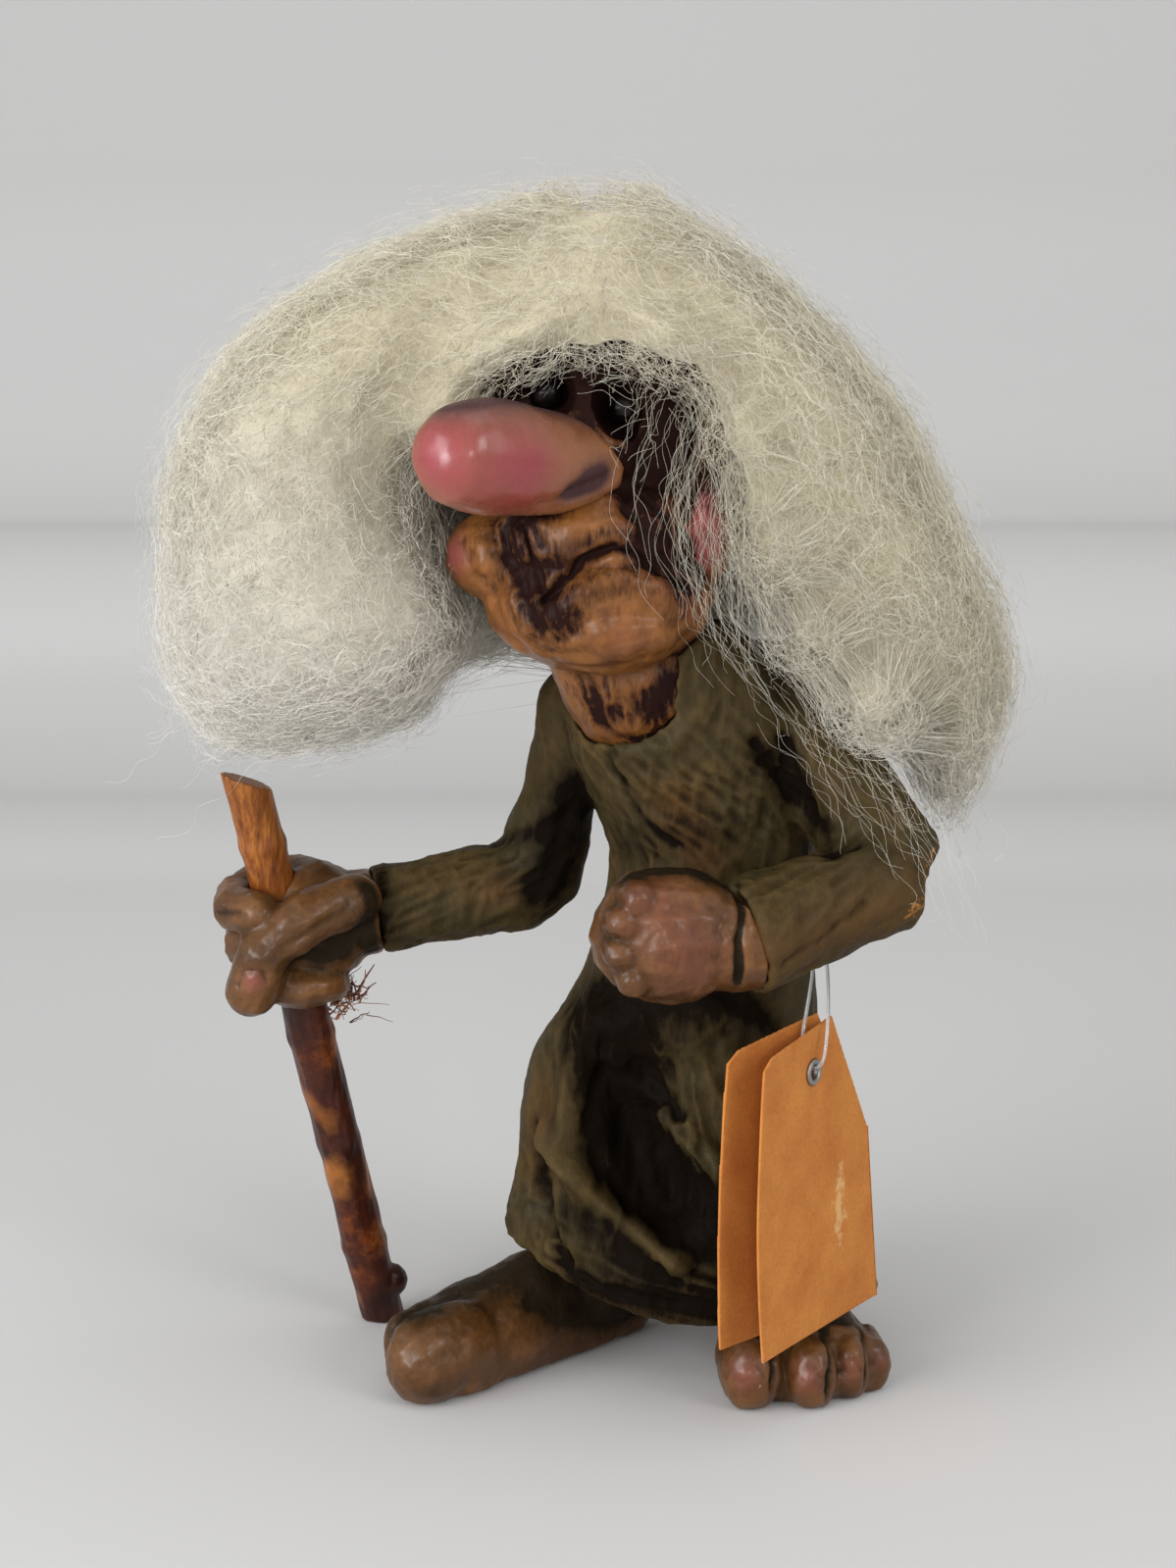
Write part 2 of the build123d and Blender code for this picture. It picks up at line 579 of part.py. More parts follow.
wool_seat = head_mass(skull_shares, 22, 10, wool_clearance) + head_mass(jaw_shares, 20, 8, wool_clearance)
for shares in face_mass_shares:
    wool_seat += head_mass(shares, 14, 7, wool_clearance)
wool_seat += limb(nose_places, [radius + wool_clearance for radius in nose_radii], 18)
left_arm_room = arm(*left_arm_values, wool_clearance)[0]
right_arm_room = arm(*right_arm_values, wool_clearance)[0]
robe_room_places = [collar_top - Vector(0, 0, robe_height * share) for share in robe_room_drop_shares]
robe_room = limb(robe_room_places, [robe_hem_width * share for share in robe_room_shares], 18,
                 upright=Vector(0, 1, 0))
hair_left = wool_lobe(left_wool_shares, -1, wool_bottom_left, left_wool_height, left_wool_width,
                      left_wool_depth)
hair_left = one_solid(hair_left - wool_seat - stick(wool_clearance))
hair_right = wool_lobe(right_wool_shares, 1, wool_bottom_right, right_wool_height, right_wool_width,
                       right_wool_depth)
hair_right = one_solid(hair_right - wool_seat - left_arm_room - robe_room)
crown_middle = head_place(*crown_wool_place_shares)
hair_crown = egg(crown_middle, crown_wool_width / 2, crown_wool_depth / 2, crown_wool_height / 2, 20, 10)
hair_crown = one_solid(hair_crown - wool_seat - hair_left - hair_right)
back_middle = head_place(*back_wool_place_shares)
hair_back = egg(back_middle, back_wool_width / 2, back_wool_depth / 2, back_wool_height / 2, 20, 10)
hair_back = hair_back - wool_seat - neck(wool_clearance) - robe_room - left_arm_room - right_arm_room
hair_back = one_solid(hair_back - hair_left - hair_right - hair_crown)

# Tag: leaf plane through the hole, front leaf and rear leaf meeting at the fold
tag_foot_rise = left_foot_height * tag_foot_rise_share
tag_hole_rise = tag_foot_rise + tag_height * tag_hole_shares[1]
tag_side = robe_place(0, tag_hole_side_share, tag_hole_front_share)
tag_hole = Vector(tag_side.X, tag_side.Y, tag_hole_rise)
leaf_way = Vector(math.cos(math.radians(tag_plane_angle)), math.sin(math.radians(tag_plane_angle)), 0)
leaf_normal = Vector(leaf_way.Y, -leaf_way.X, 0)
fold_foot = (tag_hole + leaf_way * tag_width * (1 - tag_hole_shares[0])
             - Vector(0, 0, tag_height * tag_hole_shares[1]))
front_plane = Plane(origin=fold_foot, x_dir=-leaf_way, z_dir=-leaf_normal)
rear_plane = Plane(origin=fold_foot - leaf_normal * (card_thickness + tag_fold_gap), x_dir=-leaf_way,
                   z_dir=-leaf_normal)
fold_top_shares = tag_outline_shares[2]
fold_way = Vector(0, 0, tag_height * fold_top_shares[1]) - leaf_way * tag_width * (1 - fold_top_shares[0])
fold_way = fold_way.normalized()
fold_place = between(front_plane.origin, rear_plane.origin, 0.5)
fold_line = Axis(fold_place, fold_way)


def leaf(plane):
    """Card of the tag's outline on a plane whose X runs from the fold to the open edge."""
    points = [(tag_width * (1 - x), tag_height * y) for x, y in tag_outline_shares]
    face = make_face(Polyline(*points, close=True))
    return extrude(plane * face, card_thickness / 2, both=True)


hole_place = front_plane * Pos(tag_width * (1 - tag_hole_shares[0]), tag_height * tag_hole_shares[1])
eyelet_outer = eyelet_hole / 2 + eyelet_barrel
eyelet_seat = Cylinder(eyelet_outer + eyelet_clearance, 4 * card_thickness)
tag_front_leaf = leaf(front_plane) - hole_place * eyelet_seat
tag_rear_leaf = leaf(rear_plane).rotate(fold_line, -tag_open_angle)

# Eyelet: a barrel through the front leaf with a flange on each side
eyelet_length = card_thickness + 2 * eyelet_clearance
tag_eyelet = Cylinder(eyelet_outer, eyelet_length)
for end in (-1, 1):
    flange = Cylinder(eyelet_outer + eyelet_flange, eyelet_lip)
    tag_eyelet += Pos(0, 0, end * (eyelet_length + eyelet_lip) / 2) * flange
tag_eyelet = hole_place * (tag_eyelet - Cylinder(eyelet_hole / 2, 4 * eyelet_length))

# Thread: a loop from the crook of the arm, down behind the forearm and through the eyelet
thread_rise = robe_place(thread_top_share, 0, 0).Z - tag_hole_rise
thread_points = []
for along, out, rise_share in zip(thread_alongs, thread_outs, thread_rise_shares):
    lift = Vector(0, 0, thread_rise * rise_share)
    thread_points.append(tag_hole + leaf_way * along + leaf_normal * out + lift)
for point in thread_points:
    print("thread point", tuple(round(value, 2) for value in point))


def thread_radii(points):
    radii = []
    for a, b, c in zip(points, points[1:], points[2:]):
        half_turn = math.radians((b - a).get_angle(c - b)) / 2
        radii.append(0.45 * min((b - a).length, (c - b).length) / math.tan(half_turn))
    return radii


radii = thread_radii(thread_points)
print("thread radii", [round(radius, 2) for radius in radii])
thread_line = FilletPolyline(*thread_points, radius=radii)
thread_section = RegularPolygon(tag_thread_diameter / 2, thread_sides)
tag_loop = sweep(Plane(origin=thread_line @ 0, z_dir=thread_line % 0) * thread_section, path=thread_line)
thread_volume = thread_section.area * thread_line.length
print("thread length", round(thread_line.length, 1), "volume over section times length",
      round(tag_loop.volume / thread_volume, 4))

nodes = {
    "robe": robe, "head": head, "nose": nose, "left_sleeve": left_sleeve, "right_sleeve": right_sleeve,
    "left_hand": left_hand, "right_hand": right_hand, "left_foot": left_foot, "right_foot": right_foot,
    "walking_stick": walking_stick, "bark_fray": bark_fray, "hair_left": hair_left, "hair_right": hair_right,
    "hair_crown": hair_crown, "hair_back": hair_back, "tag_front_leaf": tag_front_leaf,
    "tag_rear_leaf": tag_rear_leaf, "tag_eyelet": tag_eyelet, "tag_loop": tag_loop,
}
nodes.update(eyes)
for name, place in (("left elbow", left_elbow), ("left cuff", left_cuff), ("right elbow", right_elbow),
                    ("right cuff", right_cuff), ("grip", grip_middle), ("stick foot", stick_foot),
                    ("stick top", stick_top), ("head", head_middle), ("tag hole", tag_hole),
                    ("leaf normal", leaf_normal), ("fold place", fold_place), ("fold way", fold_way)):
    print(name, tuple(round(value, 4) for value in place))

os.makedirs("parts", exist_ok=True)
for name, shape in nodes.items():
    export_step(shape, f"parts/{name}.step")
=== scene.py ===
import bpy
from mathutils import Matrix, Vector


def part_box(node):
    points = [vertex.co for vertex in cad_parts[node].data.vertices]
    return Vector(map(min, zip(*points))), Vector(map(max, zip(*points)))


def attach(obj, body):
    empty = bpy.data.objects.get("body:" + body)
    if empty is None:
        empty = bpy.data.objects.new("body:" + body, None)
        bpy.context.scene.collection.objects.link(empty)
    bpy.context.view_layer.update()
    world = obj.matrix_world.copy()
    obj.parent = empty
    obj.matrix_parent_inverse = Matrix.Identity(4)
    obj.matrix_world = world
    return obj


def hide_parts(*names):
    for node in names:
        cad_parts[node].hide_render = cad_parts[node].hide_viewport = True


bl_info = {
    "name": "Folk Troll Figure",
    "version": (1, 0, 0),
    "blender": (4, 5, 0),
    "location": "View3D > Sidebar > Troll",
    "description": "Dresses the troll figure in clay, paint, wool, twig and kraft card",
    "category": "Object",
}

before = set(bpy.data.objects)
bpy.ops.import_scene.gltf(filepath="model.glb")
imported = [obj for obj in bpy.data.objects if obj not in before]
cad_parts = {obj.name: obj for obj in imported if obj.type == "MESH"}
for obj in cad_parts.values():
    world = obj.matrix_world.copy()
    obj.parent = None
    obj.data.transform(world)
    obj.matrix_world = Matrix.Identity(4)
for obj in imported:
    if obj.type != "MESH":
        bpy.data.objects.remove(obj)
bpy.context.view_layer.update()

import math

import bmesh
import bpy
import numpy as np
from bpy.props import FloatProperty, FloatVectorProperty, IntProperty, PointerProperty
from mathutils import Matrix, Vector
from mathutils.bvhtree import BVHTree

MM = 0.001


# Colours and nodes


def paint(text):
    """The linear colour of an sRGB hex value."""
    parts = [int(text[k:k + 2], 16) / 255 for k in (1, 3, 5)]
    return tuple(c / 12.92 if c <= 0.04045 else ((c + 0.055) / 1.055) ** 2.4 for c in parts) + (1.0,)


def node(tree, kind, inputs=None, stops=None, **settings):
    """Adds a node with its settings.

    Inputs gives each socket a value or another node's output, and stops gives a colour ramp its places and colours.
    """
    made = tree.nodes.new(kind)
    for key, value in settings.items():
        setattr(made, key, value)
    for key, value in (inputs or {}).items():
        if isinstance(value, bpy.types.NodeSocket):
            tree.links.new(value, made.inputs[key])
        else:
            made.inputs[key].default_value = value
    for place, stop in enumerate(stops or []):
        elements = made.color_ramp.elements
        element = elements[place] if place < 2 else elements.new(stop[0])
        element.position, element.color = stop
    return made


def new_material(name):
    material = bpy.data.materials.new(name)
    material.use_nodes = True
    material.node_tree.nodes.clear()
    return material, material.node_tree


def antiqued_paint(name, look):
    """Brushed paint under a dark wash that stays in the hollows, as on a hand-finished cast figure; in the deep
    recesses, the eye sockets and under the wool the wash is painted shade as well as glaze.

    The wash, worn and blush weights are painted on the clay as it is shaped. Grain sizes are in mm.
    """
    material, tree = new_material(name)
    place = node(tree, "ShaderNodeTexCoord").outputs["Object"]
    wash = node(tree, "ShaderNodeAttribute", attribute_name="wash").outputs["Fac"]
    worn = node(tree, "ShaderNodeAttribute", attribute_name="worn").outputs["Fac"]
    blush = node(tree, "ShaderNodeAttribute", attribute_name="blush").outputs["Fac"]
    blotch = node(tree, "ShaderNodeTexNoise", {"Vector": place, "Scale": 1 / (look["blotch_mm"] * MM), "Detail": 5.0,
                                               "Roughness": 0.62}).outputs["Fac"]
    fine = node(tree, "ShaderNodeTexNoise", {"Vector": place, "Scale": 1 / (look["grain_mm"] * MM), "Detail": 4.0,
                                             "Roughness": 0.7}).outputs["Fac"]
    # A dry brush draws the wash out downwards, so its grain is longer than it is wide.
    drawn = node(tree, "ShaderNodeMapping", {"Vector": place, "Scale": (1.0, 1.0, 1 / look["drawn"])}).outputs["Vector"]
    brush = node(tree, "ShaderNodeTexNoise", {"Vector": drawn, "Scale": 1 / (look["grain_mm"] * 0.7 * MM),
                                              "Detail": 5.0, "Roughness": 0.7}).outputs["Fac"]
    tint = node(tree, "ShaderNodeValToRGB", {"Fac": blotch}, stops=[
        (0.30, paint(look["deep"])), (0.50, paint(look["body"])), (0.70, paint(look["light"]))]).outputs["Color"]
    rosy = node(tree, "ShaderNodeMix", {0: blush, 6: tint, 7: paint(look["blush"])},
                data_type="RGBA").outputs[2]
    # The wash breaks up at its edge, so its weight is shaken by both grains before it is cut off.
    shaken = node(tree, "ShaderNodeMath", {0: brush, 1: look["wash_break"], 2: wash},
                  operation="MULTIPLY_ADD").outputs["Value"]
    shaken = node(tree, "ShaderNodeMath", {0: blotch, 1: look["wash_break"] * 1.2, 2: shaken},
                  operation="MULTIPLY_ADD").outputs["Value"]
    dark = node(tree, "ShaderNodeMapRange", {"Value": shaken, "From Min": look["wash_low"],
                                             "From Max": look["wash_high"]}).outputs["Result"]
    wash_tint = node(tree, "ShaderNodeMix", {0: blotch, 6: paint(look["wash"]), 7: paint(look["wash_warm"])},
                     data_type="RGBA").outputs[2]
    washed = node(tree, "ShaderNodeMix", {0: dark, 6: rosy, 7: wash_tint}, data_type="RGBA").outputs[2]
    chipped = node(tree, "ShaderNodeMath", {0: fine, 1: 0.9, 2: worn}, operation="MULTIPLY_ADD").outputs["Value"]
    chip = node(tree, "ShaderNodeValToRGB", {"Fac": chipped}, stops=[
        (0.86, (0.0, 0.0, 0.0, 1.0)), (0.98, (1.0, 1.0, 1.0, 1.0))]).outputs["Color"]
    colour = node(tree, "ShaderNodeMix", {0: chip, 6: washed, 7: paint(look["chip"])},
                  data_type="RGBA").outputs[2]
    gloss = node(tree, "ShaderNodeMapRange", {"Value": blotch, "From Min": 0.3, "From Max": 0.7,
                                              "To Min": look["smooth"], "To Max": look["rough"]}).outputs["Result"]
    relief = node(tree, "ShaderNodeBump", {"Height": fine, "Strength": look["relief"],
                                           "Distance": 0.35 * MM}).outputs["Normal"]
    # Where the wash lies thick it is dull, so it takes less light from the room than the bare enamel.
    dull_sheen, dull_varnish = 0.02, look["varnish"] * 0.12
    sheen = node(tree, "ShaderNodeMapRange", {"Value": dark, "To Min": look["sheen"],
                                              "To Max": dull_sheen}).outputs["Result"]
    coat = node(tree, "ShaderNodeMapRange", {"Value": dark, "To Min": look["varnish"],
                                             "To Max": dull_varnish}).outputs["Result"]
    shader = node(tree, "ShaderNodeBsdfPrincipled", {
        "Base Color": colour, "Roughness": gloss, "Normal": relief, "IOR": 1.48, "Specular IOR Level": sheen,
        "Coat Weight": coat, "Coat Roughness": 0.22, "Coat IOR": 1.5})
    node(tree, "ShaderNodeOutputMaterial", {"Surface": shader.outputs["BSDF"]})
    return material


# Clay


def new_object(name, mesh):
    made = bpy.data.objects.new(name, mesh)
    bpy.context.scene.collection.objects.link(made)
    return made


# Large odd numbers that mix a cell's place and a seed into one random whole number
MIX_X, MIX_Y, MIX_Z, MIX_SEED, MIX_AGAIN = 73856093, 19349663, 83492791, 39916801, 1274126177


def unevenness(places, size, seed):
    """Smooth random values from -1 to 1 that change over a size in millimetres."""
    cell = places / size
    low = np.floor(cell).astype(np.int64)
    part = cell - low
    part = part * part * (3 - 2 * part)
    total = np.zeros(len(places))
    for corner in range(8):
        step = np.array([corner & 1, corner >> 1 & 1, corner >> 2 & 1])
        at = low + step
        mixed = (at[:, 0] * MIX_X) ^ (at[:, 1] * MIX_Y) ^ (at[:, 2] * MIX_Z) ^ (seed * MIX_SEED)
        mixed = (mixed ^ (mixed >> 13)) * MIX_AGAIN
        value = ((mixed >> 7) & 0xFFFF) / (0xFFFF / 2) - 1.0
        total += value * np.prod(np.where(step == 1, part, 1 - part), axis=1)
    return total


def nearness(places, route, width):
    """1 on a route of points, falling away over a width."""
    route = np.array(route, float)
    if len(route) == 1:
        route = np.vstack([route, route])
    best = np.full(len(places), np.inf)
    for a, b in zip(route, route[1:]):
        way = b - a
        long = way @ way
        along = np.clip((places - a) @ way / long, 0, 1) if long > 0 else np.zeros(len(places))
        best = np.minimum(best, ((places - a - along[:, None] * way) ** 2).sum(1))
    return np.exp(-best / width ** 2)


class Clay:
    """A lump of clay begun from CAD nodes: its points in millimetres, the way each faces, and its washes."""

    def __init__(self, name, nodes, voxel, soften, masses=()):
        self.nodes = nodes
        lump = bmesh.new()
        for each in nodes:
            lump.from_mesh(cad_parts[each].data)
        for place, radii, turn in masses:
            matrix = (Matrix.Translation(Vector(place) * MM) @ Matrix.Rotation(math.radians(turn), 4, "Y")
                      @ Matrix.Diagonal((*[r * MM for r in radii], 1.0)))
            bmesh.ops.create_icosphere(lump, subdivisions=3, radius=1.0, matrix=matrix)
        mesh = bpy.data.meshes.new(name)
        lump.to_mesh(mesh)
        lump.free()
        self.object = new_object(name, mesh)
        self.press(voxel, soften)

    def press(self, voxel, soften):
        """Presses the clay into one skin with points a voxel apart in mm, thumbs it smooth, and reads it again."""
        self.object.modifiers.new("Pressed together", "REMESH").voxel_size = voxel * MM
        rounded = self.object.modifiers.new("Thumbed smooth", "SMOOTH")
        rounded.factor, rounded.iterations = 0.5, soften
        shown = self.object.evaluated_get(bpy.context.evaluated_depsgraph_get())
        mesh = bpy.data.meshes.new_from_object(shown)
        self.object.modifiers.clear()
        self.object.data = mesh
        count = len(mesh.vertices)
        self.places = np.empty(count * 3, np.float32)
        mesh.vertices.foreach_get("co", self.places)
        self.places = self.places.reshape(-1, 3).astype(float) / MM
        self.edges = np.empty(len(mesh.edges) * 2, np.int32)
        mesh.edges.foreach_get("vertices", self.edges)
        self.edges = self.edges.reshape(-1, 2)
        self.neighbours = np.bincount(self.edges.ravel(), minlength=count).clip(1)
        self.wash, self.worn, self.blush = np.zeros(count), np.zeros(count), np.zeros(count)
        self.read_facing()

    def read_facing(self):
        mesh = self.object.data
        mesh.vertices.foreach_set("co", (self.places * MM).astype(np.float32).ravel())
        mesh.update()
        facing = np.empty(len(self.places) * 3, np.float32)
        mesh.vertex_normals.foreach_get("vector", facing)
        self.facing = facing.reshape(-1, 3).astype(float)

    def spread(self, values, times):
        """Averages values over neighbouring points."""
        a, b = self.edges.T
        count = len(self.places)
        for _ in range(times):
            if values.ndim == 1:
                total = np.bincount(a, values[b], count) + np.bincount(b, values[a], count)
                values = 0.5 * values + 0.5 * total / self.neighbours
            else:
                total = np.stack([np.bincount(a, values[b, k], count) + np.bincount(b, values[a, k], count)
                                  for k in range(3)], 1)
                values = 0.5 * values + 0.5 * total / self.neighbours[:, None]
        return values

    def tool(self, rows):
        """Presses (positive depth) or adds clay along routes: route, width, depth, wash."""
        move = np.zeros(len(self.places))
        for route, width, depth, wash in rows:
            near = nearness(self.places, route, width)
            move -= depth * near
            self.wash += wash * near
        self.places += self.facing * move[:, None]
        self.read_facing()

    def brush(self, rows):
        """Lays paint round places: route, width, wash, worn, blush."""
        for route, width, wash, worn, blush in rows:
            near = nearness(self.places, route, width)
            self.wash += wash * near
            self.worn += worn * near
            self.blush = np.maximum(self.blush, blush * near)

    def handle(self, rows):
        """Leaves the unevenness of handling: size, height, seed."""
        for size, height, seed in rows:
            self.places += self.facing * (unevenness(self.places, size, seed) * height)[:, None]
        self.read_facing()

    def crumple(self, rows):
        """Wrinkles that run one way, within a distance of routes: route, width, run, size, length, height, seed."""
        for route, width, run, size, length, height, seed in rows:
            run = np.array(run) / np.linalg.norm(run)
            along = (self.places @ run)[:, None] * run
            grain = (self.places - along) + along * (size / length)
            ridge = 1 - 2 * np.abs(unevenness(grain, size, seed)) ** 0.8
            near = nearness(self.places, route, width).clip(0, 1) if route else 1.0
            self.places += self.facing * (near * ridge * height)[:, None]
        self.read_facing()

    def antique(self, fine, broad, high):
        """Gathers wash in the hollows and wears the high places; the wash in the broad hollows is painted shade as well
        as glaze.
        """
        around = self.spread(self.places.copy(), 3)
        hollow = ((around - self.places) * self.facing).sum(1)
        around = self.spread(around, 24)
        wide = ((around - self.places) * self.facing).sum(1)
        # The fine hollows hold the glaze; the broad ones are darkened as painted shade too.
        self.wash += np.clip(self.spread(hollow, 2) * fine, -0.1, 0.55) + np.clip(wide * broad, -0.25, 0.8)
        self.worn += np.clip(-self.spread(hollow, 1) * high - 0.15, 0, 0.6)

    def finish(self, material, body="figure"):
        mesh = self.object.data
        self.read_facing()
        for name in ("wash", "worn", "blush"):
            mesh.attributes.new(name, "FLOAT", "POINT").data.foreach_set("value", np.clip(
                getattr(self, name), -1, 1.5).astype(np.float32))
        mesh.shade_smooth()
        mesh.materials.clear()
        mesh.materials.append(material)
        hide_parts(*self.nodes)
        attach(self.object, body)


# Tool marks, in millimetres: route, width, depth, wash

FACE_MARKS = [
    ([(-6.0, -27.9, 117.7), (-3.2, -28.4, 120.7), (-0.5, -28.9, 123.0), (3.4, -29.6, 124.9), (6.7, -28.4, 123.9),
      (9.2, -26.6, 121.7), (13.9, -23.9, 119.3)], 0.75, 1.6, 0.42),
    ([(-3.9, -28.5, 115.4), (0.1, -29.2, 119.4), (4.0, -28.7, 120.7), (9.4, -27.4, 119.3)], 1.7, -1.0, 0.16),
    ([(-11.3, -23.6, 127.5), (-10.7, -23.5, 123.2), (-8.6, -26.6, 118.0), (-6.6, -26.8, 114.0)], 1.1, 0.9, 0.16),
    ([(-9.0, -25.8, 128.3), (-7.9, -27.2, 124.6), (-6.3, -27.4, 119.3)], 0.8, 0.7, 0.12),
    ([(5.0, -24.5, 133.8), (6.0, -27.3, 129.9), (8.3, -27.8, 125.7), (12.1, -24.8, 121.2)], 1.2, 1.0, 0.14),
    ([(7.4, -22.6, 136.5), (8.7, -25.0, 131.2), (10.7, -26.4, 126.6), (13.5, -23.0, 121.8)], 1.0, 0.8, 0.12),
    ([(-17.5, -20.4, 125.5), (-15.6, -21.7, 121.1), (-12.8, -22.0, 117.8), (-10.5, -21.3, 112.3),
      (-8.1, -21.3, 108.0)], 1.2, 0.6, 0.08),
    ([(-5.3, -24.5, 110.9), (0.1, -28.8, 110.9), (6.7, -29.5, 112.8), (13.5, -24.1, 115.2)], 1.0, 0.3, 0.02),
    ([(-6.5, -20.0, 106.3), (0.3, -25.3, 108.3), (6.7, -27.9, 109.8), (13.2, -21.2, 112.1), (19.2, -21.2, 112.6)],
     1.2, 0.5, 0.12),
    ([(14.1, -20.3, 132.5), (12.9, -23.9, 127.2), (13.6, -21.7, 122.5), (15.8, -20.4, 120.1)], 1.1, 0.9, 0.20),
    # The eye sockets and the brow, pressed in; their wash is partly painted shade under the wool.
    ([(1.4, -23.8, 145.6), (4.1, -19.8, 142.5), (6.4, -22.9, 139.1)], 3.0, 1.6, 0.5),
    ([(-5.3, -19.7, 146.5), (-2.6, -20.8, 145.1)], 2.2, 0.8, 0.5),
    ([(-7.1, -26.1, 150.0), (0.1, -24.5, 151.5), (7.9, -26.1, 150.7)], 1.6, 0.7, 0.3),
    ([(-4.7, -20.0, 105.4), (1.5, -13.5, 100.0), (7.1, -12.9, 96.8), (12.6, -14.2, 100.1), (20.2, -14.2, 112.6)],
     1.2, 0.3, 0.4),
    # Lumps of the chin and the cheeks
    ([(2.0, -28.0, 115.0)], 2.6, -0.7, 0.0),
    ([(9.0, -26.0, 113.5)], 2.4, -0.6, 0.0),
    ([(-4.5, -25.5, 112.0)], 2.0, -0.5, 0.0),
    ([(-14.0, -21.0, 122.5)], 1.8, -0.5, 0.0),
]
# Wrinkles: route, width, the way they run, size across, length, height, seed
FACE_WRINKLES = [
    ([(-10.0, -25.0, 128.0), (-8.0, -26.5, 122.0), (-6.0, -27.0, 116.0)], 4.0, (0.3, 0.0, -1.0), 1.1, 4.5, 0.42, 24),
    ([(5.5, -26.5, 134.0), (9.0, -25.5, 127.0), (13.0, -23.5, 121.5)], 3.8, (0.5, 0.0, -1.0), 1.1, 4.5, 0.42, 25),
    ([(-4.0, -29.0, 127.0), (4.0, -29.5, 128.0)], 3.0, (0.1, 0.0, -1.0), 0.9, 4.0, 0.10, 26),
    ([(0.0, -28.0, 112.0), (10.0, -26.0, 112.5)], 4.0, (1.0, 0.0, 0.2), 1.2, 5.0, 0.08, 27),
    ([(2.0, -15.0, 104.0), (12.0, -14.0, 102.0)], 5.0, (0.2, 0.0, -1.0), 1.2, 5.0, 0.30, 28),
]
FACE_PAINT = [
    # route, width, wash, worn, blush
    # Beside the nose the glaze is laid thick, partly as painted shade.
    ([(-9.9, -25.1, 127.6), (-7.9, -25.3, 121.9), (-5.9, -27.7, 116.7)], 5.2, 0.80, 0.0, 0.0),
    ([(6.0, -24.0, 134.8), (8.7, -26.2, 129.9), (10.7, -26.4, 124.6), (13.0, -24.0, 121.0)], 4.6, 0.72, 0.0, 0.28),
    ([(-3.0, -28.8, 123.5), (3.0, -29.6, 126.0), (7.0, -28.0, 125.0)], 2.4, 0.50, 0.0, 0.0),
    ([(-3.0, -28.3, 117.0), (0.5, -29.0, 119.5), (5.0, -28.5, 120.0)], 1.9, 0.40, 0.0, 0.0),
    # The brow and the eye sockets under the wool's edge: painted shade laid over the glaze, near black in the sockets.
    ([(-10.0, -24.0, 150.0), (0.0, -24.0, 151.5), (10.0, -24.0, 149.0)], 6.0, 0.90, 0.0, 0.0),
    ([(-2.5, -27.0, 147.0), (0.0, -26.5, 143.5)], 3.2, 0.40, 0.0, 0.0),
    ([(3.0, -21.0, 145.0), (7.0, -21.0, 141.0)], 7.0, 1.5, 0.0, 0.0),
    ([(-9.0, -24.0, 145.0)], 6.0, 1.0, 0.0, 0.0),
    ([(12.0, -20.0, 138.5), (14.0, -20.0, 134.0)], 3.6, 0.50, 0.0, 0.0),
    ([(9.1, -16.4, 102.4), (11.1, -16.6, 105.5)], 2.4, 0.75, 0.0, 0.0),
    ([(13.9, -14.5, 110.5), (18.5, -10.9, 109.6)], 3.4, 0.7, 0.0, 0.0),
    ([(-2.0, -17.0, 105.0), (2.0, -15.0, 101.0)], 2.4, 0.45, 0.0, 0.0),
    ([(3.0, -15.0, 104.0), (12.0, -14.0, 101.0)], 5.0, 0.30, 0.0, 0.0),
    ([(-18.5, -19.0, 123.5)], 2.6, -0.1, 0.0, 0.65),
    ([(16.5, -20.4, 132.0), (16.7, -22.0, 128.5), (16.5, -22.0, 125.0)], 3.4, 0.08, 0.0, 0.9),
    ([(5.0, -28.5, 114.0)], 3.0, -0.20, 0.1, 0.10),
    ([(-13.5, -22.0, 120.0), (-10.0, -22.0, 112.0)], 2.4, -0.15, 0.0, 0.05),
    ([(-3.9, -28.9, 127.0), (1.4, -29.6, 128.2)], 2.0, -0.20, 0.0, 0.0),
    ([(-11.5, -25.0, 129.5), (-4.0, -29.0, 130.0)], 1.8, 0.50, 0.0, 0.0),
]
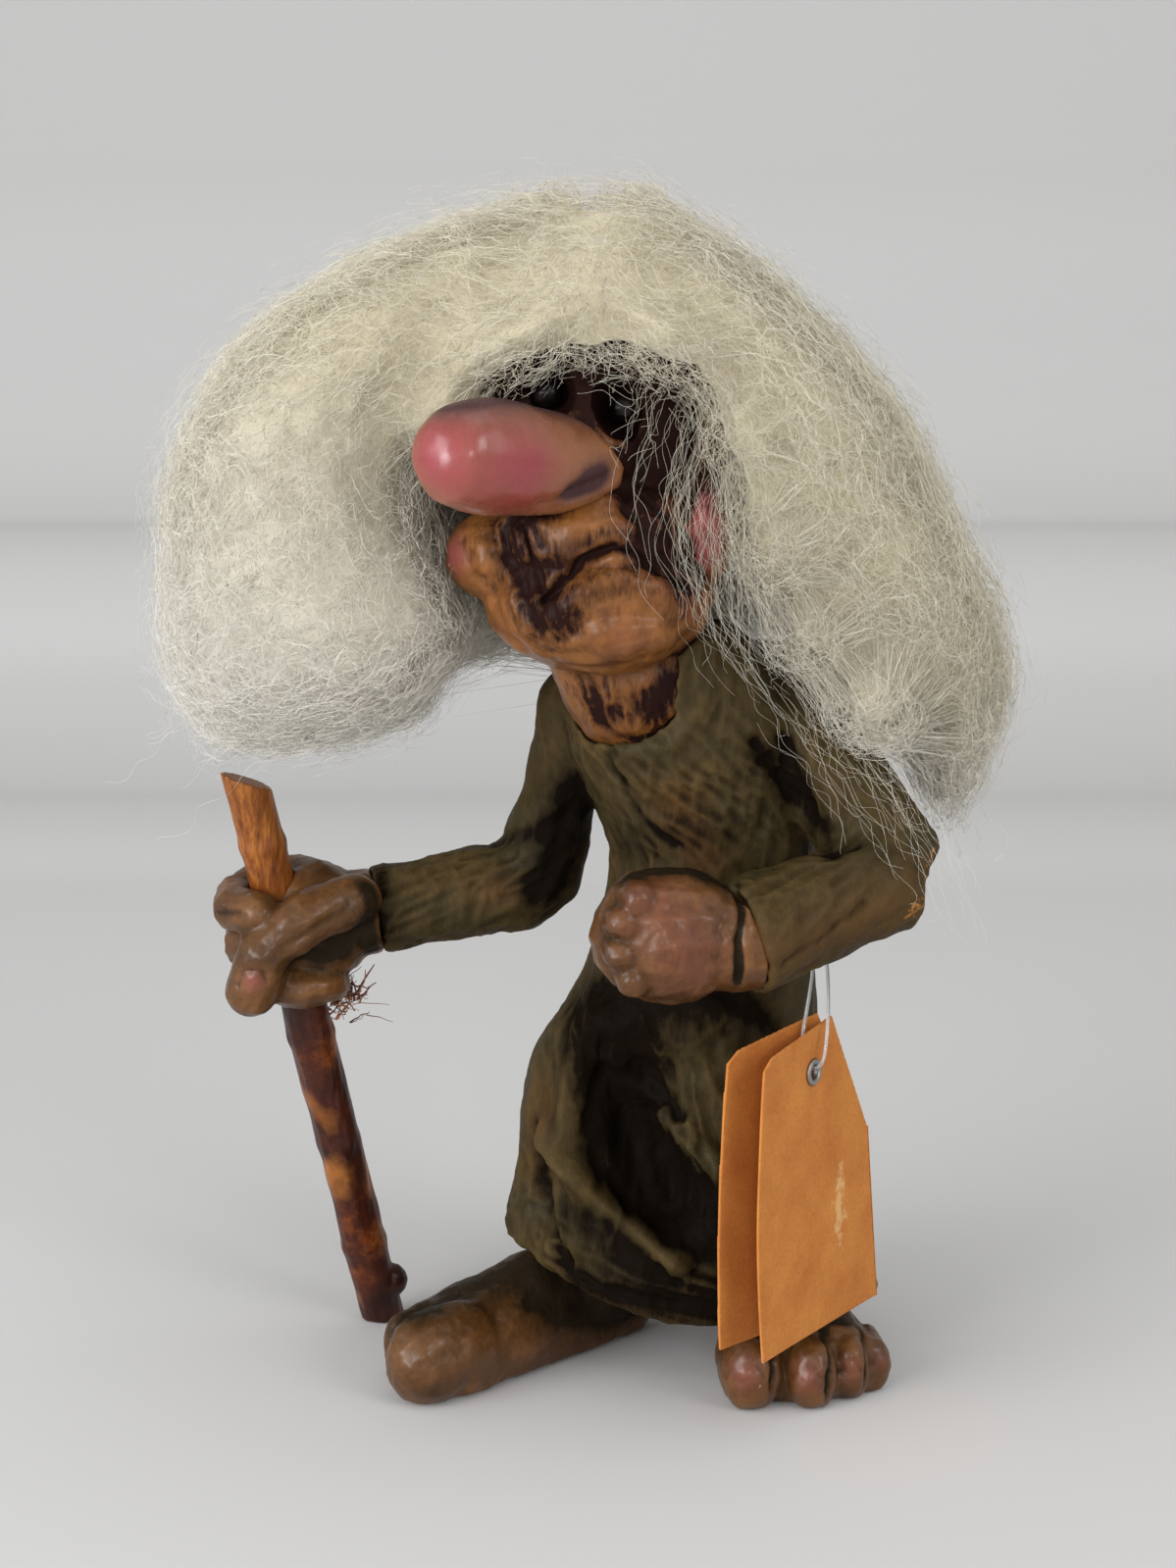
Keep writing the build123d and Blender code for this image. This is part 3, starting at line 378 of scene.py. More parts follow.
ROBE_MARKS = [
    ([(1.8, -7.8, 50.1), (0.1, -7.2, 44.7), (-0.2, -7.0, 37.2), (1.5, -6.7, 31.1), (5.9, -6.9, 25.1)], 2.6, 1.6, 0.35),
    # The deep fold down the skirt's front; its wash is partly painted shade.
    ([(4.5, -6.5, 45.0), (7.0, -6.0, 37.0), (12.0, -7.5, 28.0)], 5.0, 4.2, 0.60),
    ([(-5.9, -0.9, 37.0), (-2.9, -6.1, 32.4), (3.0, -6.9, 26.7), (8.8, -8.4, 22.3), (13.1, -10.3, 19.5)],
     1.8, -3.0, -0.35),
    ([(3.0, -7.8, 49.3), (7.4, -6.1, 44.4), (13.1, -8.9, 39.2), (19.5, -11.1, 33.9)], 1.5, -2.4, -0.2),
    ([(-7.4, 0.2, 36.7), (-7.7, 1.1, 28.7), (-5.8, -3.1, 22.4), (-3.6, -6.1, 17.3)], 1.9, 1.6, 0.45),
    ([(7.4, -6.1, 42.4), (8.1, -5.7, 36.3), (8.9, -5.5, 29.7)], 0.7, -0.8, -0.15),
    ([(11.7, -7.7, 41.4), (12.4, -8.0, 34.0), (13.2, -8.2, 27.6)], 0.7, -0.8, -0.15),
    ([(15.2, -10.0, 40.5), (16.2, -10.2, 33.2), (16.7, -10.3, 26.7)], 0.7, -0.7, -0.1),
    ([(9.7, -6.8, 42.0), (10.3, -6.8, 35.0), (11.0, -6.8, 28.0)], 0.6, 0.7, 0.6),
    ([(-9.8, -2.0, 18.5), (-2.9, -6.5, 15.9), (5.9, -9.5, 13.9), (17.5, -10.5, 12.8)], 1.4, 0.6, 0.3),
    ([(1.5, -4.6, 58.9), (7.3, -9.2, 58.5), (14.3, -11.1, 59.6), (21.5, -11.0, 60.3)], 2.2, 0.9, 0.5),
    ([(2.9, -11.2, 94.8), (5.7, -10.8, 89.1), (8.6, -11.1, 84.9), (12.8, -12.4, 82.2)], 0.9, 0.5, 0.35),
    ([(23.8, -13.8, 96.5), (28.3, -10.5, 90.5), (32.4, -13.2, 85.2), (34.4, -20.7, 82.1)], 1.6, 1.0, 0.4),
    ([(28.2, -11.2, 96.8), (31.0, -12.5, 89.9), (32.7, -10.7, 83.9)], 1.5, 1.0, 0.5),
    ([(22.1, -25.7, 64.3), (26.9, -30.7, 68.7), (32.5, -27.6, 71.5), (38.2, -24.9, 75.8)], 0.8, 0.4, 0.25),
    ([(21.9, -14.6, 78.7), (27.0, -14.9, 80.2), (31.9, -18.6, 82.0), (37.3, -19.4, 83.0)], 1.6, 0.9, 0.55),
    ([(-1.4, 0.0, 89.2), (-3.6, 1.4, 81.6), (-5.8, 1.6, 75.6), (-8.0, 1.4, 73.4)], 2.2, 0.5, 0.6),
    ([(-14.9, 8.1, 79.1), (-8.7, 1.9, 81.5), (-3.6, 1.3, 83.1)], 1.6, 0.6, 0.4),
    ([(-31.4, 4.1, 75.9), (-31.3, -3.6, 72.0), (-31.8, 2.5, 63.4)], 1.6, 0.4, 0.6),
    ([(20.6, -26.1, 78.8), (21.5, -32.2, 73.1), (20.6, -30.9, 66.0)], 0.6, 0.5, 0.5),
    ([(20.0, -11.4, 60.4), (27.5, -7.8, 53.7), (32.4, -2.4, 45.0)], 2.2, 0.9, 0.4),
    ([(-2.7, -10.4, 102.5), (1.5, -11.8, 97.7), (7.1, -13.8, 95.1), (12.6, -15.5, 97.4), (16.7, -16.0, 103.0)],
     1.2, -0.5, 0.0),
]
ROBE_WRINKLES = [
    ([], 0.0, (0.2, 0.2, 1.0), 2.2, 8.0, 0.22, 14),
    ([(4.0, -9.0, 98.0), (12.0, -14.0, 88.0), (24.0, -14.0, 90.0)], 10.0, (0.8, 0.0, -0.6), 1.3, 6.0, 0.36, 15),
    ([(44.0, -14.0, 79.0), (32.0, -22.0, 74.0), (22.0, -27.0, 71.0)], 8.0, (1.0, 0.3, 0.7), 1.5, 8.0, 0.34, 16),
    ([(-10.0, 5.0, 74.0), (-22.0, 3.0, 72.0), (-31.0, 3.0, 70.0)], 7.0, (1.0, 0.0, 0.5), 1.5, 7.0, 0.34, 17),
    ([(0.0, -7.0, 52.0), (12.0, -11.0, 46.0), (22.0, -13.0, 30.0)], 9.0, (0.35, 0.0, -1.0), 1.9, 12.0, 0.55, 18),
    ([(-10.0, 2.0, 20.0), (4.0, -10.0, 16.0), (22.0, -12.0, 14.0)], 7.0, (1.0, 0.0, -0.35), 1.8, 10.0, 0.36, 19),
]
ROBE_PAINT = [
    # The deep fold down the skirt's front, near black: painted shade as well as glaze.
    ([(4.0, -6.0, 49.0), (8.0, -6.0, 38.0), (14.0, -8.5, 27.0)], 6.4, 1.35, 0.0, 0.0),
    ([(-3.0, -6.0, 25.0), (3.0, -8.0, 21.0), (11.0, -10.0, 17.0)], 3.0, 0.60, 0.0, 0.0),
    ([(16.0, -11.0, 26.0), (22.0, -12.0, 22.0), (26.0, -12.0, 15.0)], 6.0, 0.80, 0.0, 0.0),
    ([(-2.0, -8.0, 14.0), (14.0, -12.0, 12.0), (26.0, -10.0, 11.0)], 4.0, 0.80, 0.0, 0.0),
    ([(-3.0, -4.0, 57.0), (10.0, -12.0, 57.0), (22.0, -11.0, 57.0)], 6.0, 0.62, 0.0, 0.0),
    ([(5.8, -7.3, 81.4), (12.7, -12.7, 83.7), (19.7, -13.4, 83.8)], 3.8, 0.45, 0.0, 0.0),
    ([(-6.0, 2.0, 73.0), (-4.0, 1.6, 79.0), (-2.0, 1.0, 87.0)], 5.0, 0.80, 0.0, 0.0),
    ([(25.0, -12.0, 95.0), (29.0, -12.0, 91.0), (33.0, -14.0, 85.0)], 3.8, 0.42, 0.0, 0.0),
    ([(-32.0, -1.0, 70.0), (-30.0, -2.0, 66.0)], 3.4, 0.70, 0.0, 0.0),
    ([(44.0, -20.0, 76.0), (34.0, -27.0, 72.0), (24.0, -31.0, 70.0)], 5.0, -0.20, 0.0, 0.30),
    ([(49.5, -16.0, 80.6), (48.7, -18.0, 77.1), (45.9, -20.9, 73.7)], 2.4, 0.0, 0.50, 0.0),
    ([(42.4, -13.9, 93.4), (45.6, -15.8, 88.1), (48.1, -16.2, 84.2)], 3.0, -0.1, 0.10, 0.0),
    ([(-23.4, -3.0, 76.3), (-12.0, 0.0, 73.0)], 3.0, 0.0, 0.12, 0.35),
    ([(12.0, -13.0, 88.0), (16.0, -14.0, 80.0)], 4.0, 0.0, 0.05, 0.40),
    ([(-8.0, -2.0, 42.0), (-9.0, 0.0, 30.0)], 3.5, 0.0, 0.05, 0.35),
    ([(-6.0, -6.0, 15.0), (14.0, -12.0, 12.0)], 2.6, 0.10, 0.0, 0.30),
    ([(12.0, -14.0, 66.0), (26.0, -26.0, 66.0)], 4.0, 0.10, 0.05, 0.30),
]
LEFT_HAND_MARKS = [
    ([(20.6, -26.1, 78.8), (21.0, -30.8, 75.5), (20.3, -32.5, 71.8), (20.6, -32.0, 67.6), (20.4, -30.0, 64.0)],
     0.55, 0.9, 1.0),
    ([(1.0, -29.0, 77.0), (4.5, -32.5, 77.2)], 0.9, 0.4, 0.12),
    ([(0.5, -30.0, 72.2), (4.0, -33.5, 72.4)], 0.9, 0.3, 0.05),
    ([(1.5, -30.5, 68.0), (4.5, -32.8, 68.2)], 0.9, 0.3, 0.05),
    ([(2.1, -25.0, 82.0), (7.2, -27.4, 80.8), (14.2, -27.3, 80.3), (20.5, -26.5, 78.5)], 2.0, 0.1, 0.5),
    ([(12.0, -33.8, 76.0), (16.0, -33.5, 70.0)], 2.2, 0.4, 0.0),
]
LEFT_HAND_PAINT = [
    ([(9.3, -33.2, 75.5), (14.0, -33.5, 69.0)], 5.5, 0.04, 0.0, 0.40),
    ([(4.0, -30.0, 80.0), (3.0, -28.5, 66.0)], 3.0, 0.22, 0.0, 0.0),
    ([(11.0, -30.0, 63.0)], 4.0, 0.30, 0.0, 0.0),
    ([(1.0, -26.0, 81.5), (20.0, -25.0, 80.0)], 2.6, 0.80, 0.0, 0.0),
    ([(18.0, -32.0, 73.0)], 2.5, 0.10, 0.0, 0.0),
    ([(10.5, -34.0, 77.2), (13.0, -33.8, 76.6)], 0.8, 0.30, 0.0, 0.0),
]
RIGHT_HAND_MARKS = [
    ([(-35.3, -6.1, 71.8), (-39.4, -7.6, 69.1), (-44.4, -8.8, 66.4)], 1.1, 0.5, 0.10),
    ([(-51.6, -7.9, 60.4), (-50.4, -8.6, 62.8), (-47.8, -8.8, 62.6), (-46.9, -8.5, 60.2)], 0.5, 0.35, 0.08),
    ([(-55.0, -2.9, 70.2), (-51.2, -5.7, 71.0)], 0.8, 0.5, 0.2),
    ([(-54.3, -4.0, 65.4), (-52.5, -5.0, 65.7)], 0.8, 0.5, 0.2),
    ([(-43.3, -6.0, 62.9), (-40.1, -3.0, 63.4), (-37.2, -2.7, 64.8)], 2.0, 0.6, 0.75),
    ([(-32.3, -3.9, 74.3), (-32.2, -3.0, 68.6), (-32.4, 1.8, 63.6)], 1.8, 0.3, 0.75),
]
RIGHT_HAND_PAINT = [
    ([(-49.3, -9.0, 61.0)], 1.7, -0.4, 0.0, 0.9),
    ([(-34.5, -3.0, 70.0), (-36.0, -2.0, 64.5)], 3.0, 0.55, 0.0, 0.0),
    ([(-36.0, -3.0, 75.0), (-42.0, -5.0, 75.0)], 3.0, 0.22, 0.0, 0.0),
    ([(-46.0, 8.0, 66.0)], 6.0, 0.3, 0.0, 0.0),
    ([(-52.0, -6.0, 68.0)], 1.6, 0.35, 0.0, 0.0),
]
RIGHT_FOOT_MARKS = [
    ([(-28.4, -14.0, 9.0), (-24.9, -17.1, 7.8), (-20.7, -19.0, 8.4)], 1.4, 0.3, 0.12),
    ([(-8.8, -5.1, 10.8), (0.1, 2.3, 8.9), (7.8, 10.3, 4.4)], 1.4, 0.4, 0.4),
]
RIGHT_FOOT_PAINT = [
    ([(-27.0, -8.0, 15.0), (-17.7, -4.6, 16.5), (-11.8, -2.8, 17.0), (-2.9, -0.1, 13.6), (6.2, 6.9, 9.9)],
     7.0, 0.80, 0.0, 0.0),
    ([(-24.0, -14.0, 12.5)], 4.0, 0.50, 0.0, 0.0),
    ([(-29.5, -12.0, 9.0), (-28.6, -13.5, 4.0)], 2.8, 0.35, 0.0, 0.0),
    ([(-22.8, -17.6, 2.2), (-13.0, -11.3, 2.8), (-7.3, -5.7, 4.9)], 3.0, -0.15, 0.0, 0.0),
    ([(-5.0, -2.0, 9.0), (5.0, 5.0, 6.0)], 4.0, 0.5, 0.0, 0.0),
    ([(-26.6, -15.5, 7.2)], 0.6, 1.3, 0.0, 0.0),
]
LEFT_FOOT_MARKS = [
    ([(26.8, -15.6, 11.0), (27.0, -19.6, 8.0), (27.3, -21.2, 4.5), (27.5, -21.2, 0.1)], 0.9, 1.0, 0.6),
    ([(34.9, -13.0, 10.6), (35.2, -18.0, 7.7), (35.1, -20.3, 5.3), (35.3, -20.3, 0.4)], 0.9, 0.9, 0.6),
    ([(40.9, -10.1, 10.1), (41.2, -15.4, 6.9), (41.6, -16.4, 0.4)], 0.9, 0.9, 0.6),
    ([(19.6, -20.0, 5.4), (20.4, -21.6, 7.9), (24.0, -22.0, 8.2), (25.4, -21.8, 6.0)], 0.6, 0.3, 0.12),
    ([(29.0, -19.6, 5.0), (29.8, -20.8, 7.4), (32.6, -21.1, 7.4), (33.6, -20.8, 5.4)], 0.6, 0.3, 0.12),
    ([(36.6, -17.0, 4.8), (37.3, -17.4, 6.6), (39.3, -17.2, 6.6), (40.1, -16.8, 4.8)], 0.55, 0.3, 0.12),
    ([(42.2, -13.2, 4.6), (43.0, -13.4, 6.0), (44.4, -12.4, 5.6)], 0.5, 0.2, 0.1),
    ([(22.9, -15.9, 10.6), (28.9, -12.6, 11.2), (36.3, -10.8, 11.2), (42.1, -9.8, 10.8)], 1.2, 0.4, 0.6),
]
LEFT_FOOT_PAINT = [
    ([(22.4, -21.8, 6.4)], 2.6, 0.0, 0.0, 0.65),
    ([(31.2, -21.0, 5.8)], 2.4, 0.0, 0.0, 0.65),
    ([(38.4, -17.2, 5.2)], 2.0, 0.0, 0.0, 0.55),
    ([(43.6, -13.0, 5.0)], 1.6, 0.0, 0.0, 0.45),
    ([(24.5, -22.2, 4.6)], 1.2, 0.0, 0.42, 0.0),
    ([(24.0, -14.0, 12.5), (32.0, -11.0, 13.0), (42.0, -6.0, 13.0)], 4.6, 0.75, 0.0, 0.0),
]
NOSE_MARKS = [
    ([(-1.9, -32.5, 131.9), (0.1, -31.4, 132.9), (2.7, -29.5, 133.8)], 1.4, 1.1, 0.6),
    ([(-6.0, -35.0, 130.5), (-3.0, -33.0, 131.5)], 1.2, 0.5, 0.1),
]
NOSE_PAINT = [
    # route, width, wash, worn, blush: the tip's rose gives way to skin colour towards the face
    ([(-18.6, -42.0, 137.0), (-9.5, -38.5, 135.5)], 6.0, 0.0, 0.0, 1.0),
    # The top of the nose is darkened as painted shade under the overhanging wool.
    ([(-16.0, -38.0, 145.0), (-10.0, -33.0, 146.0), (-3.0, -27.0, 145.5)], 5.4, 0.98, 0.0, 0.0),
    ([(-2.2, -32.9, 132.6), (1.2, -31.0, 133.4)], 1.8, 0.72, 0.0, 0.0),
    ([(-0.4, -31.9, 135.0), (1.8, -30.2, 135.4)], 1.5, 0.46, 0.0, 0.0),
    ([(-1.0, -30.0, 140.0)], 3.0, 0.10, 0.0, 0.0),
]

# What a look holds: its colours from deep to light, its blush, its wash where cold and warm, and what shows in a
# chip; the sizes of its blotches and its grain in mm, and how many times longer than wide the brush drew that
# grain; how far the grain breaks up the wash, and the weights at which the wash starts and covers; the roughness
# of its smooth and rough places, how strongly its grain stands up, its sheen and its varnish
SKIN = {
    # Orange-tan enamel brushed on a cast figure; the wash is a purple-black antiquing glaze, which in the eye sockets
    # and under the wool is painted shade as well.
    "deep": "#553117", "body": "#784B22", "light": "#935F31", "blush": "#934550", "wash": "#150B0A",
    "wash_warm": "#2E1B18", "chip": "#C09A68", "blotch_mm": 6.0, "grain_mm": 0.8, "drawn": 4.0, "wash_break": 0.95,
    "wash_low": 1.06, "wash_high": 1.62, "smooth": 0.32, "rough": 0.54, "relief": 0.35, "sheen": 0.2,
}
# The hands and the feet have the same enamel, but more of the glaze was left on them.
LIMBS = {
    **SKIN, "deep": "#3C240E", "body": "#573718", "light": "#714A26", "blush": "#7A4236", "drawn": 1.5,
    "wash": "#120F0B", "wash_warm": "#30261A", "grain_mm": 0.9, "wash_break": 0.55, "wash_low": 0.56,
    "wash_high": 1.22,
}
CLOTH = {
    # Olive green matt paint with a black-brown glaze in the folds, rubbed to rust on the high places; in the deep fold
    # down the skirt's front the glaze is painted shade as well.
    "deep": "#2E2917", "body": "#443820", "light": "#574628", "blush": "#653F20", "wash": "#0A0705",
    "wash_warm": "#17110A", "chip": "#A8743E", "blotch_mm": 9.0, "grain_mm": 1.0, "drawn": 4.0, "wash_break": 0.60,
    "wash_low": 0.44, "wash_high": 1.36, "smooth": 0.50, "rough": 0.72, "relief": 0.65, "sheen": 0.10,
    "varnish": 0.03,
}
NOSE = {
    # The nose is the shiniest part: rose enamel under a thick clear varnish that carries soft glints; its grey-purple
    # wash on top is painted shade under the wool.
    "deep": "#704528", "body": "#8A5634", "light": "#96623C", "blush": "#902F3B", "wash": "#33211F",
    "wash_warm": "#5A4244", "chip": "#D9B98A", "blotch_mm": 5.0, "grain_mm": 0.9, "drawn": 2.0, "wash_break": 0.36,
    "wash_low": 0.38, "wash_high": 0.98, "smooth": 0.24, "rough": 0.34, "relief": 0.08, "sheen": 0.45, "varnish": 0.6,
}


# Wool


def unit(vectors):
    return vectors / np.linalg.norm(vectors, axis=1, keepdims=True).clip(1e-9)


# A hair's place in its map, from 0 to 1: the free edge, the span of the shades, and a hair's own width and the
# height of its cut ends
MAP_EDGE, MAP_SPAN, MAP_HAIR, MAP_CUT = 0.02, 0.94, 0.012, 0.01


def tube_mesh(name, paths, radii, shade):
    """Closed three-sided hairs along paths (hairs, points, 3) in mm; each reads the wool's shade from its own map."""
    hairs, points = paths.shape[:2]
    along = np.empty_like(paths)
    along[:, 1:-1] = paths[:, 2:] - paths[:, :-2]
    along[:, 0] = paths[:, 1] - paths[:, 0]
    along[:, -1] = paths[:, -1] - paths[:, -2]
    along = unit(along.reshape(-1, 3))
    side = np.cross(along, np.where(np.abs(along[:, 2:3]) < 0.9, [[0, 0, 1.0]], [[1.0, 0, 0]]))
    side = unit(side)
    other = np.cross(along, side)
    middle = paths.reshape(-1, 3)
    corners = []
    for k in range(3):
        angle = 2 * math.pi * k / 3
        corners.append(middle + (side * math.cos(angle) + other * math.sin(angle)) * radii.reshape(-1, 1))
    places = np.stack(corners, 1).reshape(-1, 3)
    start = (np.arange(hairs) * points * 3)[:, None, None, None]
    ring = (np.arange(points - 1) * 3)[None, :, None, None]
    quad = np.array([[0, 1, 4, 3], [1, 2, 5, 4], [2, 0, 3, 5]])[None, None]
    quads = (start + ring + quad).reshape(-1)
    caps = np.concatenate([(start[:, 0, 0, 0] + c)[:, None] + np.array(t)[None] for c, t in (
        (0, (0, 2, 1)), ((points - 1) * 3, (0, 1, 2)))], 0).reshape(-1)
    mesh = bpy.data.meshes.new(name)
    mesh.vertices.add(len(places))
    mesh.vertices.foreach_set("co", (places * MM).astype(np.float32).ravel())
    mesh.loops.add(len(quads) + len(caps))
    mesh.loops.foreach_set("vertex_index", np.concatenate([quads, caps]).astype(np.int32))
    count = len(quads) // 4 + len(caps) // 3
    mesh.polygons.add(count)
    starts = np.concatenate([np.arange(len(quads) // 4) * 4, len(quads) + np.arange(len(caps) // 3) * 3])
    mesh.polygons.foreach_set("loop_start", starts.astype(np.int32))
    mesh.polygons.foreach_set("use_smooth", np.ones(count, bool))
    mesh.update(calc_edges=True)
    # The map: a hair's own shade across, root to tip upwards; each hair's faces take a small box of it.
    rows = np.repeat(np.arange(points - 1), 3)
    u0 = MAP_EDGE + MAP_SPAN * shade
    low = MAP_EDGE + (1 - 2 * MAP_EDGE) * rows / (points - 1)
    high = MAP_EDGE + (1 - 2 * MAP_EDGE) * (rows + 1) / (points - 1)
    tile = np.empty((hairs, (points - 1) * 3, 4, 2), np.float32)
    tile[..., 0] = u0[:, None, None]
    tile[:, :, 1:3, 0] += MAP_HAIR
    tile[:, :, 0:2, 1] = low[None, :, None]
    tile[:, :, 2:4, 1] = high[None, :, None]
    ends = np.empty((2, hairs, 3, 2), np.float32)
    ends[..., 0] = u0[None, :, None] + np.array([0, MAP_HAIR, MAP_HAIR / 2])[None, None]
    ends[0, ..., 1] = MAP_EDGE + np.array([0, 0, MAP_CUT])
    ends[1, ..., 1] = 1 - MAP_EDGE - MAP_CUT + np.array([0, 0, MAP_CUT])
    layer = mesh.uv_layers.new(name="OFBake")
    layer.data.foreach_set("uv", np.concatenate([tile.reshape(-1), ends.reshape(-1)]))
    return mesh


def surface_samples(places, faces, count, dice):
    """Random places on a mesh of triangles, and the way each faces."""
    a, b, c = places[faces[:, 0]], places[faces[:, 1]], places[faces[:, 2]]
    normal = np.cross(b - a, c - a)
    area = np.linalg.norm(normal, axis=1)
    pick = dice.choice(len(faces), count, p=area / area.sum())
    u, v = dice.random(count), dice.random(count)
    over = u + v > 1
    u[over], v[over] = 1 - u[over], 1 - v[over]
    spot = a[pick] + (b - a)[pick] * u[:, None] + (c - a)[pick] * v[:, None]
    return spot, unit(normal[pick])


# How far across the wool is parted, in millimetres
PARTING_X = 0.5
# Tufts that hang over the brow on both sides of the parting: place, half sizes in mm, turn in degrees
FRINGE = [
    ((-9.0, -24.5, 153.5), (14.0, 9.0, 6.0), -24.0), ((11.0, -24.5, 152.5), (10.0, 8.5, 6.0), 42.0),
    ((-20.5, -20.0, 145.5), (9.0, 9.0, 8.0), -58.0), ((21.0, -21.5, 141.5), (10.0, 8.5, 6.5), 64.0),
    ((26.0, -18.0, 128.0), (11.0, 9.5, 7.0), 74.0), ((32.5, -13.0, 115.0), (9.0, 9.0, 7.5), 62.0),
    ((41.0, -12.0, 103.0), (8.0, 9.0, 8.0), 55.0),
]
# Single hairs that have come loose: route in mm, how many, how far apart in mm
WISPS = [
    ([(16, -28, 151), (11, -34, 140), (9, -34, 130), (13, -32, 121)], 30, 3.2),
    ([(21, -27, 144), (15, -33, 134), (15, -31, 123), (20, -27, 112)], 50, 3.4),
    ([(23, -25, 134), (18, -29, 124), (20, -26, 113), (27, -20, 105)], 50, 3.4),
    ([(10, -30, 154), (5, -33, 148), (-1, -31, 151)], 22, 2.6),
    ([(13, -29, 151), (7, -33, 145), (5, -33, 140)], 14, 2.6),
    ([(-14, -27, 148), (-18, -30, 140), (-20, -28, 128)], 12, 2.4),
    ([(34, -18, 102), (42, -22, 90), (47, -24, 80), (51, -20, 72)], 30, 4.4),
    ([(28, -20, 108), (36, -23, 97), (44, -24, 87)], 28, 4.2),
    ([(-44, -18, 104), (-54, -18, 98), (-62, -12, 92)], 12, 4.0),
]


def combed(places):
    """The way the wool is combed at places: off the parting to both sides, down, and a little back."""
    side = np.tanh((places[:, 0] - PARTING_X) / 5.0)
    heights = [95, 125, 150, 175]
    out = np.interp(places[:, 2], heights, [0.10, 0.40, 0.85, 1.0])
    down = np.interp(places[:, 2], heights, [-1.0, -0.95, -0.60, -0.15])
    back = np.interp(places[:, 1], [-30, 0, 30], [-0.15, 0.0, 0.45])
    return unit(np.stack([side * out, back, down], 1))


def crimped(path, lengths, frizz, dice, longest=9.0):
    """Gives each hair two waves of its own across its line; longest is the wider wave's pitch in mm."""
    count, points = path.shape[:2]
    along = unit(path[:, -1] - path[:, 0])
    side = unit(np.cross(along, dice.normal(0, 1, (count, 3))))
    other = np.cross(along, side)
    reach = np.linspace(0, 1, points)[None] * lengths[:, None]
    swell = np.linspace(0.4, 1, points)[None]
    for size, pitch in ((frizz, dice.uniform(0.55, 1.0, count) * longest),
                        (frizz * 0.32, dice.uniform(0.44, 0.62, count) * longest)):
        turn = 2 * math.pi * (reach / pitch[:, None] + dice.random(count)[:, None])
        wide = (size * dice.uniform(0.4, 1.4, count) * (lengths / 18).clip(0.2, 1.0))[:, None] * swell
        path = (path + side[:, None] * (np.cos(turn) * wide)[..., None]
                + other[:, None] * (np.sin(turn) * wide)[..., None])
    return path


# How the comb pulls at a hair's root and along it
COMB_ROOT, COMB_LINE = 0.9, 0.16
# The spread of the ways in which hairs start, of their first turns, and of what each step adds to its turn
START_SPREAD, FIRST_TURN, ADDED_TURN = 0.80, 0.30, 0.24
# How much of a turn is carried on from step to step, and the step in mm at which it counts in full
CARRIED, FULL_STEP = 0.72, 1.3


def grow(roots, out, lengths, points, dice, lift):
    """Hairs that wander from their roots, drawn a little the way the wool is combed."""
    count = len(roots)
    step = lengths / (points - 1)
    # Low down the ends are left to curl, so the wool closes round below instead of hanging in points.
    drawn = np.interp(roots[:, 2], [92, 118], [0.25, 1.0])[:, None]
    way = unit(combed(roots) * COMB_ROOT * drawn + out * lift[:, None] + dice.normal(0, START_SPREAD, (count, 3)))
    spot = roots.copy()
    line = [spot]
    # Each turn carries on from the one before, so a hair curls and doesn't kink; a short one turns less.
    turn = dice.normal(0, FIRST_TURN, (count, 3))
    bent = np.sqrt(step / FULL_STEP)[:, None]
    for k in range(points - 1):
        turn = turn * CARRIED + dice.normal(0, ADDED_TURN, (count, 3))
        way = unit(way + combed(spot) * COMB_LINE * drawn + turn * bent)
        spot = spot + way * step[:, None]
        line.append(spot)
    return np.stack(line, 1)


def held_close(path, places, faces, give):
    """Pulls each hair back to the fleece, so that it stands off by no more than its own give in mm."""
    fleece = BVHTree.FromPolygons(places.tolist(), faces.tolist())
    flat = path.reshape(-1, 3)
    near, out = np.empty_like(flat), np.empty_like(flat)
    for k, spot in enumerate(flat.tolist()):
        near[k], out[k] = fleece.find_nearest(spot)[:2]
    off = flat - near
    far = (off * out).sum(1)
    limit = np.repeat(give, path.shape[1])
    kept = np.where(far > 0, limit * (1 - np.exp(-far.clip(0) / limit)) / far.clip(1e-6), 1.0)
    return (near + off * kept[:, None]).reshape(path.shape)


def clear_of(path, start, end, room):
    """True for each hair that keeps clear of a line from start to end."""
    start, way = np.array(start), np.array(end) - np.array(start)
    along = np.clip((path - start) @ way / (way @ way), 0, 1)
    return np.linalg.norm(path - start - along[..., None] * way, axis=2).min(1) > room


def strewn(route, count, spread, points, dice):
    """Single hairs that follow part of a route, each a little beside it."""
    route = np.array(route, float)
    length = np.concatenate([[0], np.cumsum(np.linalg.norm(np.diff(route, axis=0), axis=1))])
    first, last = dice.uniform(-0.15, 0.35, count), dice.uniform(0.55, 1.15, count)
    at = (first[:, None] + (last - first)[:, None] * np.linspace(0, 1, points)[None]).clip(0, 1) * length[-1]
    path = np.stack([np.interp(at, length, route[:, k]) for k in range(3)], 2)
    return path + dice.normal(0, spread, (count, 1, 3)) + np.cumsum(dice.normal(0, 0.45, (count, points, 3)), 1)


def painted_backlight(tree, tint):
    """Whitens a tint from a height down, as painted light: the pale backdrop lights the low wool and the wool over the
    stick from behind; above, the tint is kept.
    """
    tint_kept_above, white = 135 * MM, 80 * MM
    place = node(tree, "ShaderNodeTexCoord").outputs["Object"]
    over = node(tree, "ShaderNodeVectorMath", {0: place, 1: (0.5, 0.0, 1.0)}, operation="DOT_PRODUCT").outputs["Value"]
    low = node(tree, "ShaderNodeMapRange", {"Value": over, "From Min": tint_kept_above, "From Max": white,
                                            "To Max": 0.75}).outputs["Result"]
    return node(tree, "ShaderNodeMix", {0: low, 6: tint, 7: paint("#ECE9E2")}, data_type="RGBA").outputs[2]


